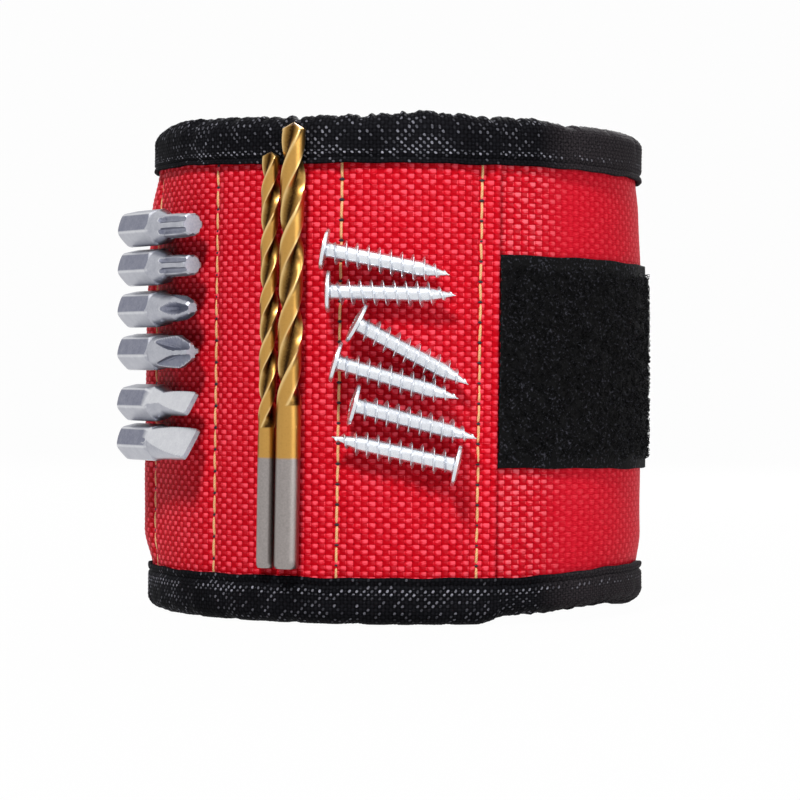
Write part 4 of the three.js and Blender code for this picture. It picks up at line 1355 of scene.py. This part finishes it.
def bit_shape(tip, width, tip_turn):
    """The radii of one bit, and a share from dull to bright for each point: the six flats differ as painted
    reflections, the ground neck is brighter, a painted highlight follows each edge of the tip, and a
    brighter line follows each corner of the hexagon."""
    turns = HEX_ROLL + 2 * np.pi * np.arange(BIT_COLUMNS) / BIT_COLUMNS
    start, sector = BIT_SHANK + BIT_TAPER, np.pi / 3
    knots = [0, 0.3, 0.6, BIT_SHOULDER, BIT_SHANK, start, start + 3, BIT_LENGTH - BIT_CHAMFER, BIT_LENGTH]
    counts = [3, 2, 8, 10, 22, 20, 26, 3]
    pieces = [np.linspace(a, b, n, endpoint=False) for a, b, n in zip(knots, knots[1:], counts)]
    w = np.concatenate([*pieces, [BIT_LENGTH]])
    along_it = w[:, None] + 0 * turns
    cone = np.interp(along_it, [BIT_SHOULDER, BIT_SHANK, start], [3.6, BIT_FLATS / 2 - 0.08, width / 2])
    neck = cone * (1 - BLUNT[tip] * ((along_it - BIT_LENGTH + BLUNT_LENGTH) / BLUNT_LENGTH).clip(0, 1))
    neck = neck - BIT_CHAMFER * smooth_step(along_it, BIT_LENGTH - BIT_CHAMFER, BIT_LENGTH)
    back = BIT_CORNERS / 2 - 0.45 + along_it * 1.1
    on_tip = along_it > BIT_SHANK - 1
    section = np.where(on_tip, TIPS[tip](turns - tip_turn, along_it, width, start), 9)
    shapes = [hexagon(turns) + 0 * along_it, BIT_CORNERS / 2 + 0 * along_it, back, neck, section]
    stack = np.sort(np.stack(shapes[3:]), 0)
    # Painted highlight: rim is bright along the edge where the tip's section meets the cone.
    rim = bell(stack[1] - stack[0], 0.07) * on_tip
    facet = np.floor((turns - HEX_ROLL + sector / 2) / sector).astype(int) % 6
    shares = [np.array(FACET_REFLECTIONS)[facet], *[PART_FINISH_AND_REFLECTION[part] for part in ("corner", "back", "neck", tip)]]
    shares = np.stack([share + 0 * along_it for share in shares])
    share = np.take_along_axis(shares, np.stack(shapes).argmin(0)[None], 0)[0]
    corner = (turns - HEX_ROLL) % sector - sector / 2
    # Brighter along each corner of the hexagon, on the shank.
    brightened = CORNER_BRIGHTENING * bell(corner, 0.06) * (along_it < BIT_SHANK)
    share = np.maximum(share + brightened, rim * 0.95)
    share[-1] = END_SHARES[1]
    return soft_least(shapes), w, turns, share


def bit_paint():
    """Grey steel that goes from dull to bright by the share of each point, with a fine grain. The share
    holds painted reflections and painted highlights as well as the bit's real finish.
    """
    paint = Paint("satin_steel", {"Metallic": 1.0})
    share = paint.attribute("share")
    grain = paint.noise(2600.0, 3.0)
    cloud = paint.noise(600.0)
    paint.bump(grain, 0.012, 0.5)
    bright = clamp(share + (grain - 0.5) * 0.35 + (cloud - 0.5) * 0.25)
    colour = paint.mix(bright, tone(108, 111, 130), tone(214, 215, 219))
    return paint.finish(colour, paint.blend(grain, 0.26, 0.44))


satin_steel = bit_paint()
# Kind of tip, its width in mm, and how far it is turned, in radians
BITS = {
    "driver_bit_star_large": ("star", 4.6, 0),
    "driver_bit_star_small": ("star", 4.1, 0),
    "driver_bit_cross_small": ("cross", 5.0, 0.85),
    "driver_bit_cross_large": ("cross", 6.0, 0.1),
    "driver_bit_slot_small": ("slot", 4.5, 0),
    "driver_bit_slot_large": ("slot", 6.0, 0),
}
way, face = along(BIT_CONTACT_ANGLE), outward(BIT_CONTACT_ANGLE)
foot = AXIS + face * (PANEL_RADIUS + SEAT_GAP + BIT_FLATS / 2) - way * (BIT_SETBACK + BIT_LENGTH / 2)
for node, (tip, width, tip_turn) in BITS.items():
    radius, places, turns, share = bit_shape(tip, width, tip_turn)
    points, faces = polar_mesh(radius, places, turns)
    height = np.mean(box(node), 0)[2]
    placed = lay(points, way, face, np.array([*foot[:2], height]))
    floats = {"share": np.concatenate([share.ravel(), END_SHARES])}
    steel_piece(node, placed, faces, satin_steel, 24, floats)

# %% [markdown]
# ## The twist drills
# A drill's section has two lands with narrow margins and two hollow flutes. It turns as it rises, six
# diameters to a turn, and the flutes run out where the plain shank begins. A gold coat covers the
# flutes and ends a little way down the shank.

# %% Both drills
FLUTE_LEAD_SHARE = 6
POINT_SHARE = 0.3
DRILL_SPACING = 0.45
DRILL_FOOT_RISE = 1.5
DRILL_COLUMNS = 60
LARGE_DRILL_ANGLE = -23.7
VIEW_TURN = 0.41
FLUTE_DEPTH, MARGIN_STEP = 0.54, 0.06
# Diameter, length, fluted length, lean of the point in degrees, and place in the row
DRILLS = {
    "twist_drill_large": (4.4, 78.9, 50.1, 1.6, 0),
    "twist_drill_small": (3.3, 73.9, 49.1, 1.5, 1),
}


def drill_shape(diameter, length, fluted):
    """Radii of one drill. Round half a turn: a margin at full radius, a land just under it, and a
    flute as a sine hollow, which deepens from nothing over one diameter at its lower end. The columns
    turn with the flutes, and a flute faces the front at the point."""
    turns = 2 * np.pi * np.arange(DRILL_COLUMNS) / DRILL_COLUMNS
    start, shoulder = length - fluted, length - POINT_SHARE * diameter
    shank = np.concatenate([[0, 0.15, 0.3, 0.5], np.linspace(1.5, start, 12, endpoint=False)])
    flutes = np.linspace(start, shoulder, 150, endpoint=False)
    w = np.concatenate([shank, flutes, np.linspace(shoulder, length - 0.02, 10)])[:, None]
    twist = np.maximum(w - start, 0) * 2 * np.pi / (FLUTE_LEAD_SHARE * diameter)
    place = (turns / np.pi) % 1 + 0 * w
    facing = VIEW_TURN - 0.75 * np.pi - twist[-1, 0]
    margin = 1 - MARGIN_STEP * smooth_step(place, 0.08, 0.11)
    hollow = FLUTE_DEPTH * np.sin(np.pi * ((place - 0.5) / 0.5).clip(0, 1)) ** 0.75
    # edge marks each margin and each land's edge, where the coat gets a painted highlight.
    edge = bell(place - 0.04, 0.04) + bell(place - 0.49, 0.035)
    section = margin - hollow * smooth_step(w, start, start + 1.3 * diameter)
    section = np.where(w < start, 1, section)
    point = (length - w) / (POINT_SHARE * diameter) + 0.02
    chamfer = 0.86 + w / 0.5 * 0.14
    radius = diameter / 2 * soft_least([section, point, chamfer], 0.012)
    return radius, w[:, 0], turns + twist + facing, hollow * (w > start), edge * (w > start)


def drill_paint(coat_end):
    """Gold coat over grey steel: the coat stops at a place along the drill. Deep in the flutes it is
    painted darker and duller as painted shade, and along the margins and the edges of the lands it
    has a painted highlight."""
    paint = Paint("gold_coated_steel", {"Metallic": 1.0})
    place, deep, edge = (paint.attribute(name) for name in ("along", "deep", "edge"))
    cloud = paint.noise(420.0)
    fine = paint.noise(2600.0, 3.0)
    coat = clamp((place + cloud * 0.5 - coat_end) * 2.5)
    # Painted shade: the gold darkens to brown deep in the flutes.
    gold = paint.mix(clamp(deep * 1.9 + (fine - 0.5) * 0.4), tone(186, 142, 74), tone(54, 34, 14))
    # Painted highlight: pale gold along the margins and the lands' edges.
    gold = paint.mix(clamp(edge * 0.75), gold, tone(238, 208, 148))
    steel = paint.mix(fine, tone(130, 125, 123), tone(164, 156, 153))
    paint.bump(fine, 0.01, 0.5)
    return paint.finish(paint.mix(coat, steel, gold), paint.blend(fine, 0.26, 0.42))


COAT_END = 19.6
gold_steel = drill_paint(COAT_END)
apart = (DRILLS["twist_drill_large"][0] + DRILLS["twist_drill_small"][0]) / 2 + DRILL_SPACING
for node, (diameter, length, fluted, point_lean, order) in DRILLS.items():
    radius, places, turns, hollow, edge = drill_shape(diameter, length, fluted)
    points, faces = polar_mesh(radius, places, turns)
    seat = SEAT_GAP + diameter / 2
    angle = LARGE_DRILL_ANGLE - order * float(angle_at(apart))
    foot = outward(angle) * (PANEL_RADIUS + seat) + [0, 0, BOTTOM_TAPE_EDGE + DRILL_FOOT_RISE]
    rest = outward(angle + point_lean) * (RIM_RADIUS + seat) + [0, 0, TOP_TAPE_EDGE]
    placed = lay(points, rest - foot, outward(angle), foot + AXIS * [1, 1, 0])
    floats = {
        "along": np.concatenate([np.repeat(places, radius.shape[1]), places[[0, -1]]]),
        "deep": np.concatenate([hollow.ravel(), [0, 0]]),
        "edge": np.concatenate([edge.ravel(), [0, 0]]),
    }
    steel_piece(node, placed, faces, gold_steel, 38, floats)

# %% [markdown]
# ## The screws
# Six wafer-head screws with a thin sharp thread. The thread is a true helix: the radius rises to the
# crest where the place along the screw, less the turn, comes to the middle of a pitch. The head is a
# thin round wafer, slightly domed, with a cross recess.

# %% Screw formula and places
SCREW_LENGTH = 23.2
SCREW_HEAD = 7.4
SCREW_HEAD_THICKNESS = 1.0
SCREW_CREST = 4.6
SCREW_ROOT = 2.7
SCREW_PITCH = 2.0
SCREW_TURNS = 12
SCREW_COLUMNS = 40
SCREW_POINT = 5.0
RECESS_DIAMETER = 3.4
RECESS_DEPTH = 0.7
HEAD_DOME = 0.42
FIRST_ROLL, NEXT_ROLL = 0.4, 1.3
# Each head's place sideways and above the middle, in head diameters, its tilt in degrees, and which
# way the screw points
SCREWS = {
    "screw_1": (-1.86, 2.9, 11.2, 1),
    "screw_2": (-1.77, 1.88, 1.3, 1),
    "screw_3": (-1.08, 1.17, 28.2, 1),
    "screw_4": (-1.57, 0.23, 16.2, 1),
    "screw_5": (-1.14, -0.79, 14.9, 1),
    "screw_6": (1.48, -2.26, -12.6, -1),
}


def weld(points, faces, tolerance=1e-4):
    """Merges points that coincide, and drops the corners and faces that this makes repeat."""
    key = np.round(points / tolerance).astype(np.int64)
    _, first, index = np.unique(key, axis=0, return_index=True, return_inverse=True)
    kept = []
    for group in faces:
        group = index.ravel()[group]
        same = group == np.roll(group, -1, 1)
        kept.append(group[~same.any(1)])
        if group.shape[1] == 4:
            one = same.sum(1) == 1
            kept.append(group[one][~same[one]].reshape(-1, 3))
    return points[first], [group for group in kept if len(group)]


def screw_shape(roll):
    """A screw in two grids that share a ring. The head's rows go from the middle of the recess out
    over its face, round its rim and in to the neck. The thread's rows wind: each keeps its phase and
    rises by a pitch a turn, so the last column meets the first one pitch on. Rows that would start
    or end past the shank are held at its ends."""
    turns = 2 * np.pi * np.arange(SCREW_COLUMNS + 1) / SCREW_COLUMNS
    face = np.linspace(0.02, 0.97, 22)[:, None] * SCREW_HEAD / 2 + 0 * turns
    arm = 0.6 + 0.4 * smooth_step(np.abs(np.cos(2 * (turns - roll))), 0.72, 0.9)
    edge = arm * RECESS_DIAMETER / 2
    dip = RECESS_DEPTH * (1 - smooth_step(face, edge * 0.6, edge))
    dome = HEAD_DOME * (face / (SCREW_HEAD / 2)) ** 2 + dip
    rim_turn = np.linspace(0, np.pi, 7)
    rim = np.stack([SCREW_HEAD / 2 - 0.1 + 0.1 * np.sin(rim_turn), 0.72 - 0.26 * np.cos(rim_turn)])
    foot = SCREW_HEAD_THICKNESS + 0.7
    root = SCREW_ROOT / 2
    neck = np.array([[root + 0.5, root + 0.15, root], [1.0, 1.25, foot]])
    side = np.concatenate([rim, neck], 1)[:, :, None] + 0 * turns
    head_r, head_z = np.concatenate([face, side[0]]), np.concatenate([dome, side[1]])

    phase = np.array([0, 0.2, 0.35, 0.4, 0.45, 0.47, 0.53, 0.55, 0.6, 0.65])
    start = foot + (np.arange(-1, SCREW_TURNS - 1)[:, None] + phase).ravel() * SCREW_PITCH
    w = np.clip(start[:, None] + SCREW_PITCH * turns / (2 * np.pi), foot, SCREW_LENGTH)
    crest = np.tile(((0.15 - np.abs(phase - 0.5)) / 0.11).clip(0, 1), SCREW_TURNS)[:, None]
    crest = crest * smooth_step(w, foot + 0.1, foot + 1.4)
    taper = ((SCREW_LENGTH - w) / SCREW_POINT).clip(0, 1) ** 0.85
    thread_r = (SCREW_ROOT + (SCREW_CREST - SCREW_ROOT) * crest) / 2 * taper

    grids, faces, count = [], [], 0
    for r, z in ((head_r, head_z), (thread_r, w)):
        grids.append(np.stack([r * np.cos(turns), r * np.sin(turns), z], -1).reshape(-1, 3))
        faces.append(grid_faces(*r.shape) + count)
        count += r.size
    ring = np.arange(SCREW_COLUMNS)
    faces.append(np.stack([ring + 1, ring, np.full(SCREW_COLUMNS, count)], -1))
    grids.append([[0, 0, head_z[0, 0]]])
    return weld(np.concatenate(grids), faces)


bright_zinc = metal_paint("bright_zinc", tone(208, 212, 220), tone(238, 240, 244), 0.16, 1400.0, 0.002, 0.85)
touching = PANEL_RADIUS + SEAT_GAP + SCREW_CREST / 2
reach = math.sqrt((PANEL_RADIUS + SEAT_GAP + SCREW_HEAD / 2) ** 2 - touching**2)
for number, (node, (side_share, rise_share, tilt, facing)) in enumerate(SCREWS.items()):
    side, tilt = side_share * SCREW_HEAD + facing * reach, math.radians(tilt)
    angle = math.degrees(math.asin(side / touching))
    direction = along(angle) * facing * math.cos(tilt) + [0, 0, -math.sin(tilt)]
    position = AXIS * [1, 1, 0] + outward(angle) * touching - direction * reach / math.cos(tilt)
    position[2] += BAND_HEIGHT / 2 + rise_share * SCREW_HEAD - reach * math.tan(tilt)
    points, faces = screw_shape(FIRST_ROLL + NEXT_ROLL * number)
    steel_piece(node, lay(points, direction, outward(angle), position), faces, bright_zinc, 35)

# %% [markdown]
# ## The room
# A pale floor curves up into a wall and holds the object's soft shadow. To the camera and in
# reflections it is white, as in the photograph. Four square lamps light the band, the key light from
# above and a little to the left.

# %% Floor, backdrop and light
WHITE_SHARE = 0.98
ROOM_LEVEL = 0.1
PALE = (0.6, 0.6, 0.6, 1)
FLOOR_RADIUS, CURVE_RADIUS, WALL_TOP = 1400, 600, 2600
FLOOR_FRONT = 1300


def seen_directly(tree):
    """A socket that is 1 for rays from the camera, from a reflection or through glass, and 0 for all
    other light: the greatest of three."""
    ray = tree.nodes.new("ShaderNodeLightPath")
    seen = ray.outputs["Is Camera Ray"]
    for kind in ("Is Glossy Ray", "Is Transmission Ray"):
        most = tree.nodes.new("ShaderNodeMath")
        most.operation = "MAXIMUM"
        tree.links.new(seen, most.inputs[0])
        tree.links.new(ray.outputs[kind], most.inputs[1])
        seen = most.outputs[0]
    return seen


def backdrop_paint():
    """White to the camera and in reflections, and an ordinary pale matt surface to all other light."""
    material = bpy.data.materials.new("pale_backdrop")
    material.use_nodes = True
    tree = material.node_tree
    tree.nodes.clear()
    kinds = ("OutputMaterial", "BsdfDiffuse", "Emission", "MixShader", "Math")
    output, matt, glow, mix, share = (tree.nodes.new("ShaderNode" + kind) for kind in kinds)
    matt.inputs["Color"].default_value = PALE
    share.operation = "MULTIPLY"
    share.inputs[1].default_value = WHITE_SHARE
    tree.links.new(seen_directly(tree), share.inputs[0])
    for number, source in enumerate((share, matt, glow)):
        tree.links.new(source.outputs[0], mix.inputs[number])
    tree.links.new(mix.outputs[0], output.inputs[0])
    return material


def studio():
    """A floor that curves up into a wall on all sides, as one turned surface."""
    turn, curve = np.linspace(0, 2 * np.pi, 97), np.linspace(0, np.pi / 2, 10)[1:]
    out, up = FLOOR_RADIUS + CURVE_RADIUS * np.sin(curve), CURVE_RADIUS * (1 - np.cos(curve))
    radius = np.concatenate([[0, 400, 900, FLOOR_RADIUS], out, [FLOOR_RADIUS + CURVE_RADIUS]])
    height = np.concatenate([[0, 0, 0, 0], up, [WALL_TOP]])
    x = AXIS[0] + radius[:, None] * np.cos(turn)
    y = AXIS[1] + radius[:, None] * np.sin(turn)
    points = np.stack([x, y, height[:, None] + 0 * x], -1)
    faces = grid_faces(*x.shape)
    keep = points[:, :, 1].ravel()[faces].mean(1) > AXIS[1] - FLOOR_FRONT
    mesh = make_mesh("studio_floor", points.reshape(-1, 3), [faces[keep]])
    mesh.materials.append(backdrop_paint())
    floor = bpy.data.objects.new("studio_floor", mesh)
    bpy.context.scene.collection.objects.link(floor)


def softbox(name, place, size, power):
    """A square area light that faces the middle of the band."""
    data = bpy.data.lights.new(name, "AREA")
    data.shape = "SQUARE"
    data.size = size * MM
    data.energy = power
    lamp = bpy.data.objects.new(name, data)
    bpy.context.scene.collection.objects.link(lamp)
    lamp.matrix_world = look_from(np.array(place, float), AXIS * [1, 1, 0] + [0, 0, BAND_HEIGHT / 2])


studio()
softbox("key_light", (-170, -640, 720), 150, 7.4)
softbox("fill_light", (640, -560, 240), 520, 2.1)
softbox("top_light", (0, 60, 900), 500, 1.2)
softbox("back_light", (180, 760, 460), 420, 6.5)
world = bpy.data.worlds.new("pale_room")
bpy.context.scene.world = world
world.use_nodes = True
air = world.node_tree
background = air.nodes["Background"]
background.inputs["Color"].default_value = (1, 1, 1, 1)
level = air.nodes.new("ShaderNodeMapRange")
level.inputs["To Min"].default_value = ROOM_LEVEL
air.links.new(seen_directly(air), level.inputs["Value"])
air.links.new(level.outputs["Result"], background.inputs["Strength"])
bpy.context.scene.view_settings.view_transform = "Standard"
